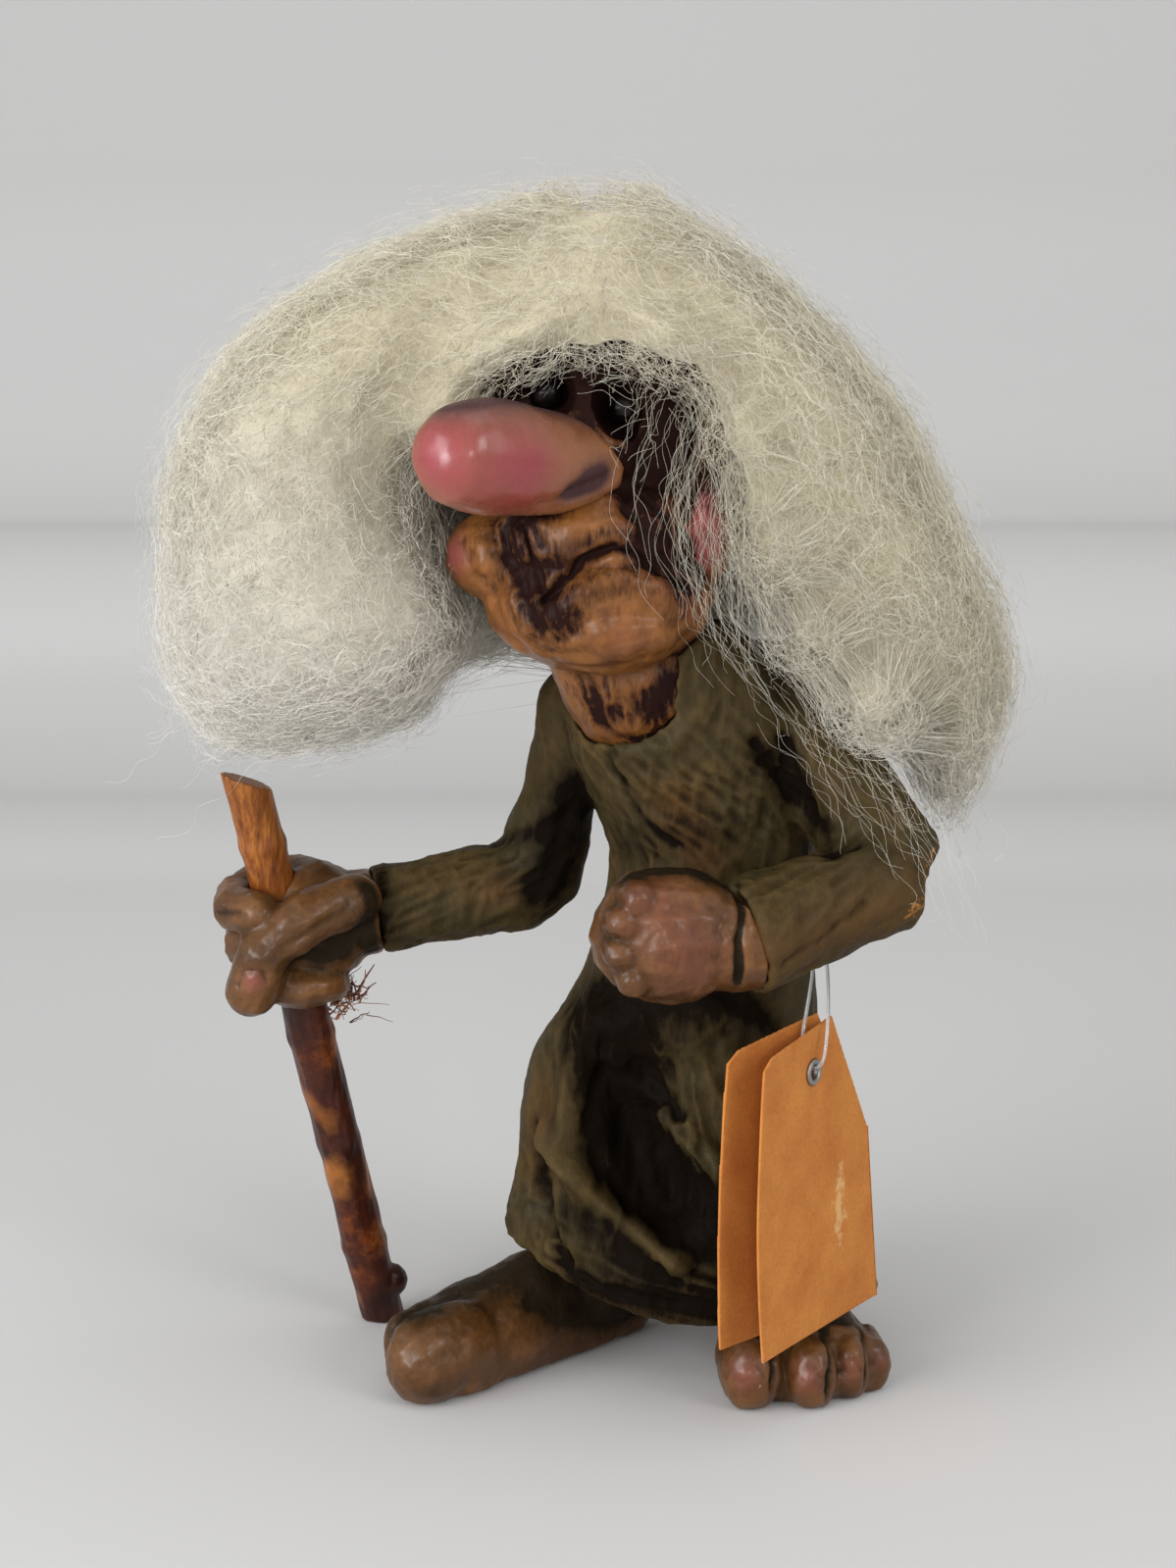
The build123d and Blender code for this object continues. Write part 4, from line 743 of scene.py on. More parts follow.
def wool_material(name, shadow, body, tip):
    """Combed sheep's wool: matt, with a soft sheen from the scales of its fibres. Each fibre has its own shade."""
    material, tree = new_material(name)
    where = node(tree, "ShaderNodeUVMap", uv_map="OFBake").outputs["UV"]
    split = node(tree, "ShaderNodeSeparateXYZ", {"Vector": where})
    # Painted shade at each hair's root, where it lies in the fleece, lightening to painted light at the tip.
    rise = node(tree, "ShaderNodeValToRGB", {"Fac": split.outputs["Y"]}, stops=[
        (0.0, paint(shadow)), (0.35, paint(body)), (1.0, paint(tip))]).outputs["Color"]
    fibre = node(tree, "ShaderNodeMapRange", {"Value": split.outputs["X"], "To Min": 0.88,
                                              "To Max": 1.0}).outputs["Result"]
    tint = node(tree, "ShaderNodeMix", {0: 1.0, 6: rise, 7: fibre}, data_type="RGBA",
                blend_type="MULTIPLY").outputs[2]
    tint = painted_backlight(tree, tint)
    shader = node(tree, "ShaderNodeBsdfPrincipled", {"Base Color": tint, "Roughness": 0.75, "IOR": 1.55,
                                                     "Sheen Weight": 0.25, "Specular IOR Level": 0.25})
    node(tree, "ShaderNodeOutputMaterial", {"Surface": shader.outputs["BSDF"]})
    return material


def fleece_material(name, deep, body, size_mm):
    """The matted wool under the loose hairs: dull and mottled by tufts, at a real tuft's size, and darker than the
    hairs as painted shade under them.
    """
    material, tree = new_material(name)
    place = node(tree, "ShaderNodeTexCoord").outputs["Object"]
    tuft = node(tree, "ShaderNodeTexNoise", {"Vector": place, "Scale": 1 / (size_mm * MM), "Detail": 6.0,
                                             "Roughness": 0.75, "Distortion": 1.2}).outputs["Fac"]
    tint = node(tree, "ShaderNodeValToRGB", {"Fac": tuft}, stops=[
        (0.35, paint(deep)), (0.62, paint(body))]).outputs["Color"]
    tint = painted_backlight(tree, tint)
    relief = node(tree, "ShaderNodeBump", {"Height": tuft, "Strength": 0.5, "Distance": 0.6 * MM}).outputs["Normal"]
    shader = node(tree, "ShaderNodeBsdfPrincipled", {"Base Color": tint, "Roughness": 0.9, "Normal": relief,
                                                     "Sheen Weight": 0.3, "Specular IOR Level": 0.2})
    node(tree, "ShaderNodeOutputMaterial", {"Surface": shader.outputs["BSDF"]})
    return material


# Settings


class TrollFigureSettings(bpy.types.PropertyGroup):
    clay_grain: FloatProperty(name="Clay grain", description="Size of the smallest mark kept in the clay",
                              default=0.38 * MM, min=0.2 * MM, max=1.5 * MM, unit="LENGTH", subtype="DISTANCE")
    skin_varnish: FloatProperty(name="Skin varnish", description="How much clear varnish lies on the skin",
                                default=0.35, min=0.0, max=1.0, subtype="FACTOR")


class TrollWoolSettings(bpy.types.PropertyGroup):
    hairs: IntProperty(name="Hairs", description="Number of loose hairs over the whole head", default=34000, min=100)
    thickness: FloatProperty(name="Hair thickness", description="Thickness of a drawn hair; real wool is finer",
                             default=0.10 * MM, min=0.02 * MM, max=1 * MM, unit="LENGTH", subtype="DISTANCE")
    frizz: FloatProperty(name="Frizz", description="How far a hair waves from its line", default=0.9 * MM, min=0.0,
                         max=5 * MM, unit="LENGTH", subtype="DISTANCE")
    seed: IntProperty(name="Seed", description="Picks another fall of the hair", default=7)


class TrollTagSettings(bpy.types.PropertyGroup):
    thread: FloatProperty(name="Thread", description="Thickness of the clear thread", default=0.5 * MM,
                          min=0.1 * MM, max=2 * MM, unit="LENGTH", subtype="DISTANCE")
    card: FloatProperty(name="Card", description="Thickness of the kraft card", default=0.45 * MM,
                        min=0.1 * MM, max=2 * MM, unit="LENGTH", subtype="DISTANCE")


class TrollStageSettings(bpy.types.PropertyGroup):
    floor_colour: FloatVectorProperty(name="Floor", description="Colour of the floor and the backdrop", size=4,
                                      subtype="COLOR", default=paint("#C8C8C9"), min=0.0, max=1.0)
    camera_distance: FloatProperty(name="Camera distance", description="From the camera to the middle of the figure",
                                   default=0.340, unit="LENGTH", subtype="DISTANCE")
    camera_height: FloatProperty(name="Camera height", description="Over the ground", default=0.132,
                                 unit="LENGTH", subtype="DISTANCE")
    camera_tilt: FloatProperty(name="Camera tilt", description="How far the camera looks down",
                               default=math.radians(7.17), subtype="ANGLE", unit="ROTATION")
    lamp_strength: FloatProperty(name="Lamps", description="Strength of all the lamps together", default=1.0, min=0.0)


# The clear thread's route, in millimetres: out of the crook of the arm, through the eyelet and back
THREAD_ROUTE = [
    (30.62, -7.86, 77.0), (33.42, -9.96, 71.49), (34.6, -12.63, 64.81), (34.25, -18.5, 60.9), (33.77, -21.96, 56.51),
    (33.09, -22.58, 51.45), (30.31, -20.62, 51.45), (30.32, -20.26, 55.49), (31.42, -17.49, 59.9),
    (32.65, -12.97, 64.71), (32.33, -10.3, 69.9), (29.4, -8.72, 75.51),
]
# The tag, in millimetres: its hole, the way its front leaf faces and runs back, and the fold from its low end
TAG_HOLE = Vector((31.6984, -21.5987, 50.9004))
LEAF_NORMAL = Vector((0.8171, -0.5764, 0.0))
LEAF_WAY = Vector((0.5764, 0.8171, 0.0))
LEAF_WIDTH = 34
FOLD_PLACE = Vector((42.9846, -4.9489, 12.291))
FOLD_WAY = Vector((-0.0786, -0.1114, 0.9907))
FOLD_LENGTH = 27.1
# The torn patch, in millimetres: its middle, how far its edge strays, and how far inside that edge it starts
# to show and shows in full
TORN_PLACE, TORN_STRAY, TORN_STARTS, TORN_FULL = Vector((36.5, -14.8, 29.0)), 7.0, 1.7, 2.7


class TROLL_OT_stage(bpy.types.Operator):
    """Adds the floor, the backdrop, the lamps and the camera"""

    bl_idname = "troll.stage"
    bl_label = "Stage and Camera"

    def execute(self, context):
        look = context.scene.troll_stage
        # Seamless matt paper: it takes the figure's soft shadow and gives back no glint.
        material, tree = new_material("Studio Paper")
        shader = node(tree, "ShaderNodeBsdfPrincipled", {"Base Color": tuple(look.floor_colour), "Roughness": 0.9,
                                                         "Specular IOR Level": 0.1})
        node(tree, "ShaderNodeOutputMaterial", {"Surface": shader.outputs["BSDF"]})
        profile = [(-1.6, 0.0), (0.5, 0.0), (0.8, 0.06), (0.95, 0.25), (1.0, 0.6), (1.0, 2.2)]
        half_width, under_soles = 2.5, 0.2 * MM
        sweep = bmesh.new()
        rows = [[sweep.verts.new((x, y, z - under_soles)) for x in (-half_width, half_width)] for y, z in profile]
        for low, high in zip(rows, rows[1:]):
            sweep.faces.new((low[0], low[1], high[1], high[0]))
        bmesh.ops.bevel(sweep, geom=[e for e in sweep.edges if not e.is_boundary], offset=0.08, segments=5,
                        affect="EDGES")
        mesh = bpy.data.meshes.new("Paper sweep")
        sweep.to_mesh(mesh)
        sweep.free()
        mesh.shade_smooth()
        mesh.materials.append(material)
        new_object("Paper sweep", mesh)

        # A pale room all round fills the shadows with soft light.
        world = bpy.data.worlds.new("Pale Studio")
        world.use_nodes = True
        world.node_tree.nodes.clear()
        air = node(world.node_tree, "ShaderNodeBackground", {"Color": paint("#ECEBE8"), "Strength": 0.90})
        node(world.node_tree, "ShaderNodeOutputWorld", {"Surface": air.outputs["Background"]})
        context.scene.world = world
        aim = Vector((0, 0, 0.09))
        for name, place, size, watts in (("Overhead softbox", (0.10, -0.15, 0.95), 0.60, 1.05),
                                         ("Left window", (-0.75, -0.55, 0.35), 0.60, 4.45),
                                         ("Right window", (0.70, -0.75, 0.50), 0.40, 2.6),
                                         ("Low reflector", (-0.45, -0.50, 0.05), 0.40, 3.0),
                                         ("Window behind", (0.03, -1.10, 0.20), 0.16, 1.0)):
            lamp = bpy.data.lights.new(name, "AREA")
            lamp.shape, lamp.size, lamp.energy = "SQUARE", size, watts * look.lamp_strength
            light = new_object(name, lamp)
            light.location = place
            light.rotation_euler = (aim - Vector(place)).to_track_quat("-Z", "Y").to_euler()
        camera = bpy.data.cameras.new("Photograph's place")
        camera.lens, camera.sensor_width, camera.clip_start = 52.9, 36.0, 0.01
        held = new_object("Photograph's place", camera)
        held.location = (0.0, -look.camera_distance, look.camera_height)
        held.rotation_euler = (math.pi / 2 - look.camera_tilt, 0.0, 0.0)
        context.scene.camera = held
        context.scene.view_settings.view_transform = "Standard"
        return {"FINISHED"}


class TROLL_OT_thread(bpy.types.Operator):
    """Adds the clear thread that holds the tag"""

    bl_idname = "troll.thread"
    bl_label = "Tag Thread"

    def execute(self, context):
        look = context.scene.troll_tag
        # Clear nylon filament, drawn smooth: it is seen by its bright edges.
        material, tree = new_material("Clear Nylon Filament")
        shader = node(tree, "ShaderNodeBsdfPrincipled", {
            "Base Color": paint("#F2F4F4"), "Roughness": 0.08, "IOR": 1.53, "Transmission Weight": 0.75})
        node(tree, "ShaderNodeOutputMaterial", {"Surface": shader.outputs["BSDF"]})
        line = bpy.data.curves.new("Tag thread", "CURVE")
        line.dimensions, line.bevel_depth, line.bevel_resolution, line.resolution_u = "3D", look.thread / 2, 4, 14
        spline = line.splines.new("NURBS")
        spline.points.add(len(THREAD_ROUTE) - 1)
        for point, place in zip(spline.points, THREAD_ROUTE):
            point.co = (*(Vector(place) * MM), 1.0)
        spline.order_u, spline.use_endpoint_u = 3, True
        line.materials.append(material)
        thread = new_object("Tag_thread", line)
        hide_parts("tag_loop")
        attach(thread, "figure")
        return {"FINISHED"}


class TROLL_OT_clothes(bpy.types.Operator):
    """Models the robe and its sleeves"""

    bl_idname = "troll.clothes"
    bl_label = "Robe"

    def execute(self, context):
        look = context.scene.troll_figure
        robe = Clay("Robe", ["robe", "left_sleeve", "right_sleeve"], look.clay_grain / MM * 1.1, 40)
        robe.tool(ROBE_MARKS)
        robe.crumple(ROBE_WRINKLES)
        robe.handle([(7.0, 0.30, 11), (2.6, 0.14, 12), (1.1, 0.07, 13)])
        robe.brush(ROBE_PAINT)
        robe.antique(3.5, 0.55, 1.0)
        robe.finish(antiqued_paint("Antiqued Olive Enamel", CLOTH))
        return {"FINISHED"}


class TROLL_OT_head(bpy.types.Operator):
    """Models the head, the nose and the eyes"""

    bl_idname = "troll.head"
    bl_label = "Head"

    def execute(self, context):
        look = context.scene.troll_figure
        # The face carries less varnish than the hands and the feet.
        skin = antiqued_paint("Antiqued Tan Enamel", {**SKIN, "varnish": look.skin_varnish * 0.6})
        head = Clay("Head", ["head"], look.clay_grain / MM * 0.85, 28)
        head.tool(FACE_MARKS)
        head.crumple(FACE_WRINKLES)
        head.handle([(5.0, 0.30, 21), (2.0, 0.14, 22), (0.9, 0.06, 23)])
        head.brush(FACE_PAINT)
        head.antique(4.0, 0.5, 2.5)
        head.finish(skin)
        nose = Clay("Nose", ["nose"], look.clay_grain / MM * 0.85, 90)
        nose.tool(NOSE_MARKS)
        nose.handle([(6.0, 0.25, 31), (2.2, 0.08, 32)])
        nose.brush(NOSE_PAINT)
        nose.finish(antiqued_paint("Varnished Rose Enamel", NOSE))
        # Gloss black enamel: only a small glint shows deep in the socket.
        material, tree = new_material("Gloss Black Enamel")
        place = node(tree, "ShaderNodeTexCoord").outputs["Object"]
        cloud = node(tree, "ShaderNodeTexNoise", {"Vector": place, "Scale": 1 / (1.5 * MM)}).outputs["Fac"]
        tint = node(tree, "ShaderNodeValToRGB", {"Fac": cloud}, stops=[(0.3, paint("#080606")),
                                                                      (0.8, paint("#1C1210"))]).outputs["Color"]
        shader = node(tree, "ShaderNodeBsdfPrincipled", {"Base Color": tint, "Roughness": 0.3,
                                                         "Specular IOR Level": 0.25})
        node(tree, "ShaderNodeOutputMaterial", {"Surface": shader.outputs["BSDF"]})
        for side in ("left", "right"):
            eye = Clay(side.capitalize() + "_eye", [side + "_eye"], 0.2, 4)
            eye.finish(material)
        return {"FINISHED"}


class TROLL_OT_limbs(bpy.types.Operator):
    """Models the hands and the bare feet"""

    bl_idname = "troll.limbs"
    bl_label = "Hands and Feet"

    def execute(self, context):
        look = context.scene.troll_figure
        skin = antiqued_paint("Glazed Tan Enamel", {**LIMBS, "varnish": look.skin_varnish})
        for name, marks, washes, soften, seed in (
                ("left_hand", LEFT_HAND_MARKS, LEFT_HAND_PAINT, 12, 41),
                ("right_hand", RIGHT_HAND_MARKS, RIGHT_HAND_PAINT, 14, 51),
                ("left_foot", LEFT_FOOT_MARKS, LEFT_FOOT_PAINT, 20, 61),
                ("right_foot", RIGHT_FOOT_MARKS, RIGHT_FOOT_PAINT, 60, 71)):
            lump = Clay(name.capitalize(), [name], look.clay_grain / MM * 0.8, soften)
            lump.tool(marks)
            lump.crumple([([], 0.0, (1.0, 0.2, 0.5), 1.6, 4.5, 0.05, seed + 3)])
            lump.handle([(4.0, 0.24, seed), (1.7, 0.12, seed + 1), (0.8, 0.05, seed + 2)])
            lump.brush(washes)
            lump.antique(4.0, 0.6, 2.0)
            lump.places[:, 2] = np.maximum(lump.places[:, 2], 0.0)
            lump.finish(skin)
        return {"FINISHED"}


# In millimetres: the middle line of the stick, where the hand grips it, the middle line of the nose, how far
# every hair stays from each line, and how high a hair may reach
STICK_FOOT = Vector((-33.1115, 19.4887, 0.0))
STICK_TOP = Vector((-50.4932, -2.1259, 90.0606))
STICK_GRIP = Vector((-45.9557, 3.5166, 66.5503))
STICK_ROOM = 5.2
NOSE_ROOT, NOSE_TIP = (-0.9, -24.5, 136.0), (-17.2, -38.6, 137.0)
NOSE_ROOM = 8.6
HIGHEST_HAIR = 179.5


class TROLL_OT_stick(bpy.types.Operator):
    """Models the twig that the troll leans on, bare at the top and in its bark below the hand"""

    bl_idname = "troll.stick"
    bl_label = "Walking Stick"

    # In mm: how far under the grip the bark ends, the knots' heights along the twig and how far each stands out,
    # and the height of the scraped patch
    BARK_END = 9
    KNOTS = [(14.0, 0.25), (33.0, 0.15), (52.0, 0.2), (84.0, 0.3)]
    SCRAPE = 33

    def execute(self, context):
        way = (STICK_TOP - STICK_FOOT).normalized()
        grip = (STICK_GRIP - STICK_FOOT).length
        stick = Clay("Walking_stick", ["walking_stick"], 0.32, 3)
        rise = (stick.places - np.array(STICK_FOOT)) @ np.array(way)
        middle = np.array(STICK_FOOT) + rise[:, None] * np.array(way)
        round_way = unit(stick.places - middle)
        bark = 1 / (1 + np.exp(-(grip - self.BARK_END - rise) / 0.8))
        coarse = unevenness(stick.places * [1, 1, 0.45], 3.2, 81)
        fine = unevenness(stick.places * [1.6, 1.6, 0.3], 1.5, 82)
        stick.places += round_way * (bark * (0.20 + 0.18 * coarse + 0.10 * fine)
                                     + (1 - bark) * (0.07 * fine + 0.10 * unevenness(stick.places, 6.0, 83)))[:, None]
        for height, size in self.KNOTS:
            ring = np.exp(-((rise - height) / 1.3) ** 2)
            stick.places += round_way * (ring * size)[:, None]
        stick.places[:, 2] = np.maximum(stick.places[:, 2], 0.0)
        stick.read_facing()
        # The weights serve the twig in their own way: blush is bark, wash is old varnish or scrapes, worn is pits.
        stick.blush = bark.clip(0, 1)
        scraped = np.clip(0.55 + 1.3 * unevenness(stick.places * [1, 1, 0.6], 5.0, 84), 0, 1)
        stick.wash = np.exp(-((rise - grip) / 9.0) ** 2) * 0.6 + scraped * np.exp(-((rise - self.SCRAPE) / 11.0) ** 4)
        hollow = ((stick.spread(stick.places.copy(), 4) - stick.places) * stick.facing).sum(1)
        stick.worn = np.clip(hollow * 6, -1, 1)
        stick.finish(self.twig())
        self.fray()
        return {"FINISHED"}

    def twig(self):
        """A peeled and varnished twig above the hand, glossy red-brown bark with pale scrapes below it."""
        material, tree = new_material("Varnished Twig")
        place = node(tree, "ShaderNodeTexCoord").outputs["Object"]
        bark = node(tree, "ShaderNodeAttribute", attribute_name="blush").outputs["Fac"]
        varnish = node(tree, "ShaderNodeAttribute", attribute_name="wash").outputs["Fac"]
        hollow = node(tree, "ShaderNodeAttribute", attribute_name="worn").outputs["Fac"]
        long = node(tree, "ShaderNodeMapping", {"Vector": place, "Rotation": (0.0, math.radians(11.0), 0.0),
                                                "Scale": (1.0, 1.0, 0.14)}).outputs["Vector"]
        grain = node(tree, "ShaderNodeTexNoise", {"Vector": long, "Scale": 1 / (0.9 * MM), "Detail": 5.0,
                                                  "Roughness": 0.65}).outputs["Fac"]
        wood = node(tree, "ShaderNodeValToRGB", {"Fac": grain}, stops=[
            (0.30, paint("#54290D")), (0.50, paint("#7C4516")), (0.72, paint("#A86A2A"))]).outputs["Color"]
        amber = node(tree, "ShaderNodeMix", {0: varnish, 6: wood, 7: paint("#6A2F10")}, data_type="RGBA").outputs[2]
        patch = node(tree, "ShaderNodeTexNoise", {"Vector": place, "Scale": 1 / (13.0 * MM), "Detail": 9.0,
                                                  "Roughness": 0.72}).outputs["Fac"]
        skin = node(tree, "ShaderNodeValToRGB", {"Fac": patch}, stops=[
            (0.38, paint("#220C06")), (0.52, paint("#3F190B")), (0.60, paint("#63300F")), (0.72, paint("#A8642A"))
        ]).outputs["Color"]
        pits = node(tree, "ShaderNodeMapRange", {"Value": hollow, "From Min": 0.1, "From Max": 0.8}).outputs["Result"]
        skin = node(tree, "ShaderNodeMix", {0: pits, 6: skin, 7: paint("#140A08")}, data_type="RGBA").outputs[2]
        rubbed = node(tree, "ShaderNodeMath", {0: varnish, 1: patch}, operation="MULTIPLY").outputs["Value"]
        rubbed = node(tree, "ShaderNodeMapRange", {"Value": rubbed, "From Min": 0.18,
                                                   "From Max": 0.62}).outputs["Result"]
        skin = node(tree, "ShaderNodeMix", {0: rubbed, 6: skin, 7: paint("#A9682B")}, data_type="RGBA").outputs[2]
        colour = node(tree, "ShaderNodeMix", {0: bark, 6: amber, 7: skin}, data_type="RGBA").outputs[2]
        relief = node(tree, "ShaderNodeBump", {"Height": grain, "Strength": 0.5,
                                               "Distance": 0.3 * MM}).outputs["Normal"]
        gloss = node(tree, "ShaderNodeMapRange", {"Value": bark, "To Min": 0.50, "To Max": 0.36}).outputs["Result"]
        shader = node(tree, "ShaderNodeBsdfPrincipled", {"Base Color": colour, "Roughness": gloss, "Normal": relief,
                                                         "IOR": 1.5, "Specular IOR Level": 0.22,
                                                         "Coat Weight": 0.12, "Coat Roughness": 0.2})
        node(tree, "ShaderNodeOutputMaterial", {"Surface": shader.outputs["BSDF"]})
        return material

    def fray(self):
        """Bark fibres torn up under the fist: thin, dry and reddish."""
        low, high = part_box("bark_fray")
        seat = Vector(low).lerp(Vector(high), 0.5) / MM
        dice = np.random.default_rng(91)
        count, points = 70, 7
        roots = np.array(seat)[None] + dice.normal(0, 1.0, (count, 3)) * [1.9, 1.2, 1.3]
        way = unit(dice.normal(0, 0.7, (count, 3)) + [0.7, -0.35, 0.3])
        reach = dice.uniform(1.2, 4.2, count)
        steps = np.linspace(-0.4, 1, points)[None, :, None]
        paths = roots[:, None] + way[:, None] * steps * reach[:, None, None]
        paths += np.cumsum(dice.normal(0, 0.22, (count, points, 3)), 1)
        radii = dice.uniform(0.10, 0.26, count)[:, None] * np.linspace(1.0, 0.4, points)[None]
        mesh = tube_mesh("Bark fibres", paths, radii, dice.random(count))
        material, tree = new_material("Torn Bark Fibre")
        where = node(tree, "ShaderNodeUVMap", uv_map="OFBake").outputs["UV"]
        split = node(tree, "ShaderNodeSeparateXYZ", {"Vector": where})
        tint = node(tree, "ShaderNodeValToRGB", {"Fac": split.outputs["X"]}, stops=[
            (0.1, paint("#48190E")), (0.6, paint("#743420")), (0.95, paint("#A87048"))]).outputs["Color"]
        shader = node(tree, "ShaderNodeBsdfPrincipled", {"Base Color": tint, "Roughness": 0.7})
        node(tree, "ShaderNodeOutputMaterial", {"Surface": shader.outputs["BSDF"]})
        mesh.materials.append(material)
        made = new_object("Bark_fibres", mesh)
        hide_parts("bark_fray")
        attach(made, "figure")


class TROLL_OT_wool(bpy.types.Operator):
    """Grows the wool: one matted fleece under loose, crimped hairs"""

    bl_idname = "troll.wool"
    bl_label = "Wool Hair"

    LOBES = ["hair_left", "hair_right", "hair_crown", "hair_back"]
    # The finest form of the fleece, and how deep it lies under the loose hairs' roots, in mm
    TUFT, BURIED = 1.0, 2.3
    # Points along a loose hair and along a wisp, and how often a wisp's bends are eased
    POINTS, WISP_POINTS, WISP_EASING = 15, 56, 12
    # Hairs in one piece, so that no piece's mesh grows too large
    MOST_IN_ONE = 2300
    # Lengths of the loose hairs, and the shortest one near the nose, in mm
    SHORT, LONG, STUB = 10, 28, 6.0
    # The share of hairs that stand off, and how far those and the others may stand off the fleece, in mm
    STRAYS, STRAY_GIVE, CLOSE_GIVE = 0.28, (2.5, 8.5), (0.6, 3.4)
    # Thickness of a hair that stands off and of a wisp, beside the setting
    STRAY_THIN, WISP_THIN = 0.55, 0.3
    # Half the nose's thickness with a little room, in mm
    NOSE_THICK = 7.5

    def execute(self, context):
        look = context.scene.troll_wool
        dice = np.random.default_rng(look.seed)
        core = Clay("Fleece", self.LOBES, self.TUFT, 24, FRINGE)
        # The CAD lobes take in the frizz, so the fleece under it is drawn back by the frizz's depth.
        depth = np.interp(core.places[:, 2], [90, 130, 165], [2.0, 2.8, 3.8])
        # Between the neck and the lobe over the stick the light comes through, so the wool behind is drawn up.
        x, _, z = core.places.T
        near = np.exp(-((x + 9) / 11) ** 2) * np.clip((118 - z) / 12, 0, 1)
        core.places[:, 2] += near * (114 - z).clip(0) * 0.75
        core.places -= core.facing * (depth * np.interp(core.places[:, 1], [-22, -12], [0.15, 1.0]))[:, None]
        core.read_facing()
        core.press(self.TUFT, 6)
        core.handle([(18.0, 1.6, 94), (7.0, 0.6, 95), (3.0, 0.35, 96)])
        core.object.data.calc_loop_triangles()
        places = core.places.copy()
        faces = np.array([t.vertices[:] for t in core.object.data.loop_triangles])
        core.places -= core.facing * self.BURIED
        core.handle([(1.6, 0.35, 97), (0.9, 0.2, 98)])
        core.finish(fleece_material("Matted Fleece", "#C1B79B", "#D7CEB4", 0.9))

        count = look.hairs // 1
        roots, out = surface_samples(places, faces, count, dice)
        lengths = dice.uniform(self.SHORT, self.LONG, count)
        # Hairs that start near the nose are short, so that they end before they reach it.
        start, way = np.array(NOSE_ROOT), np.array(NOSE_TIP) - np.array(NOSE_ROOT)
        along = ((roots - start) @ way / (way @ way)).clip(0, 1)
        lengths = np.minimum(lengths, np.maximum(
            np.linalg.norm(roots - start - along[:, None] * way, axis=1) - self.NOSE_THICK, self.STUB))
        sunk = np.abs(dice.normal(0, 1.2, count))[:, None]
        paths = grow(roots - out * sunk, out, lengths, self.POINTS, dice, dice.uniform(0.0, 0.7, count))
        paths = crimped(paths, lengths, look.frizz / MM, dice)
        stray = dice.random(count) < self.STRAYS
        give = np.where(stray, dice.uniform(*self.STRAY_GIVE, count), dice.uniform(*self.CLOSE_GIVE, count))
        paths = held_close(paths, places, faces, give)
        thickness = look.thickness / MM * np.where(stray, self.STRAY_THIN, dice.uniform(0.7, 1.15, count))
        kept = self.allowed(paths)
        paths, thickness = paths[kept], thickness[kept]
        radii = thickness[:, None] / 2 * np.linspace(1.0, 0.6, self.POINTS)[None]
        wool = wool_material("Frizzed Wool", "#C5BBA0", "#D6CEB8", "#E4DFCE")
        shade = dice.random(len(paths))
        for part, first in enumerate(range(0, len(paths), self.MOST_IN_ONE)):
            pick = slice(first, first + self.MOST_IN_ONE)
            mesh = tube_mesh(f"Loose hairs {part + 1}", paths[pick], radii[pick], shade[pick])
            mesh.materials.append(wool)
            made = new_object(f"Loose_hairs_{part + 1}", mesh)
            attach(made, "figure")
        self.wisps(look, dice, wool)
        return {"FINISHED"}

    def allowed(self, paths):
        """True for each hair that keeps clear of the stick and the nose and below the wool's top."""
        return (clear_of(paths, STICK_FOOT, STICK_TOP, STICK_ROOM) & clear_of(paths, NOSE_ROOT, NOSE_TIP, NOSE_ROOM)
                & (paths[..., 2].max(1) < HIGHEST_HAIR))

    def wisps(self, look, dice, wool):
        """The single fine hairs that have sprung loose in wide curls."""
        strands = []
        turns = 12
        for route, number, spread in WISPS:
            loose = strewn(route, number, spread, turns, dice)
            at = np.linspace(0, turns - 1, self.WISP_POINTS)
            low = np.minimum(at.astype(int), turns - 2)
            part = (at - low)[None, :, None]
            loose = loose[:, low] * (1 - part) + loose[:, low + 1] * part
            for _ in range(self.WISP_EASING):
                loose[:, 1:-1] = (loose[:, :-2] + 2 * loose[:, 1:-1] + loose[:, 2:]) / 4
            strands.append(crimped(loose, dice.uniform(22, 44, number), look.frizz / MM * 0.9, dice, longest=20.0))
        strands = np.concatenate(strands)
        strands = strands[self.allowed(strands)]
        radii = np.full((len(strands), self.WISP_POINTS), look.thickness / MM / 2 * self.WISP_THIN)
        mesh = tube_mesh("Wisps", strands, radii, dice.random(len(strands)))
        mesh.materials.append(wool)
        made = new_object("Wisps", mesh)
        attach(made, "figure")


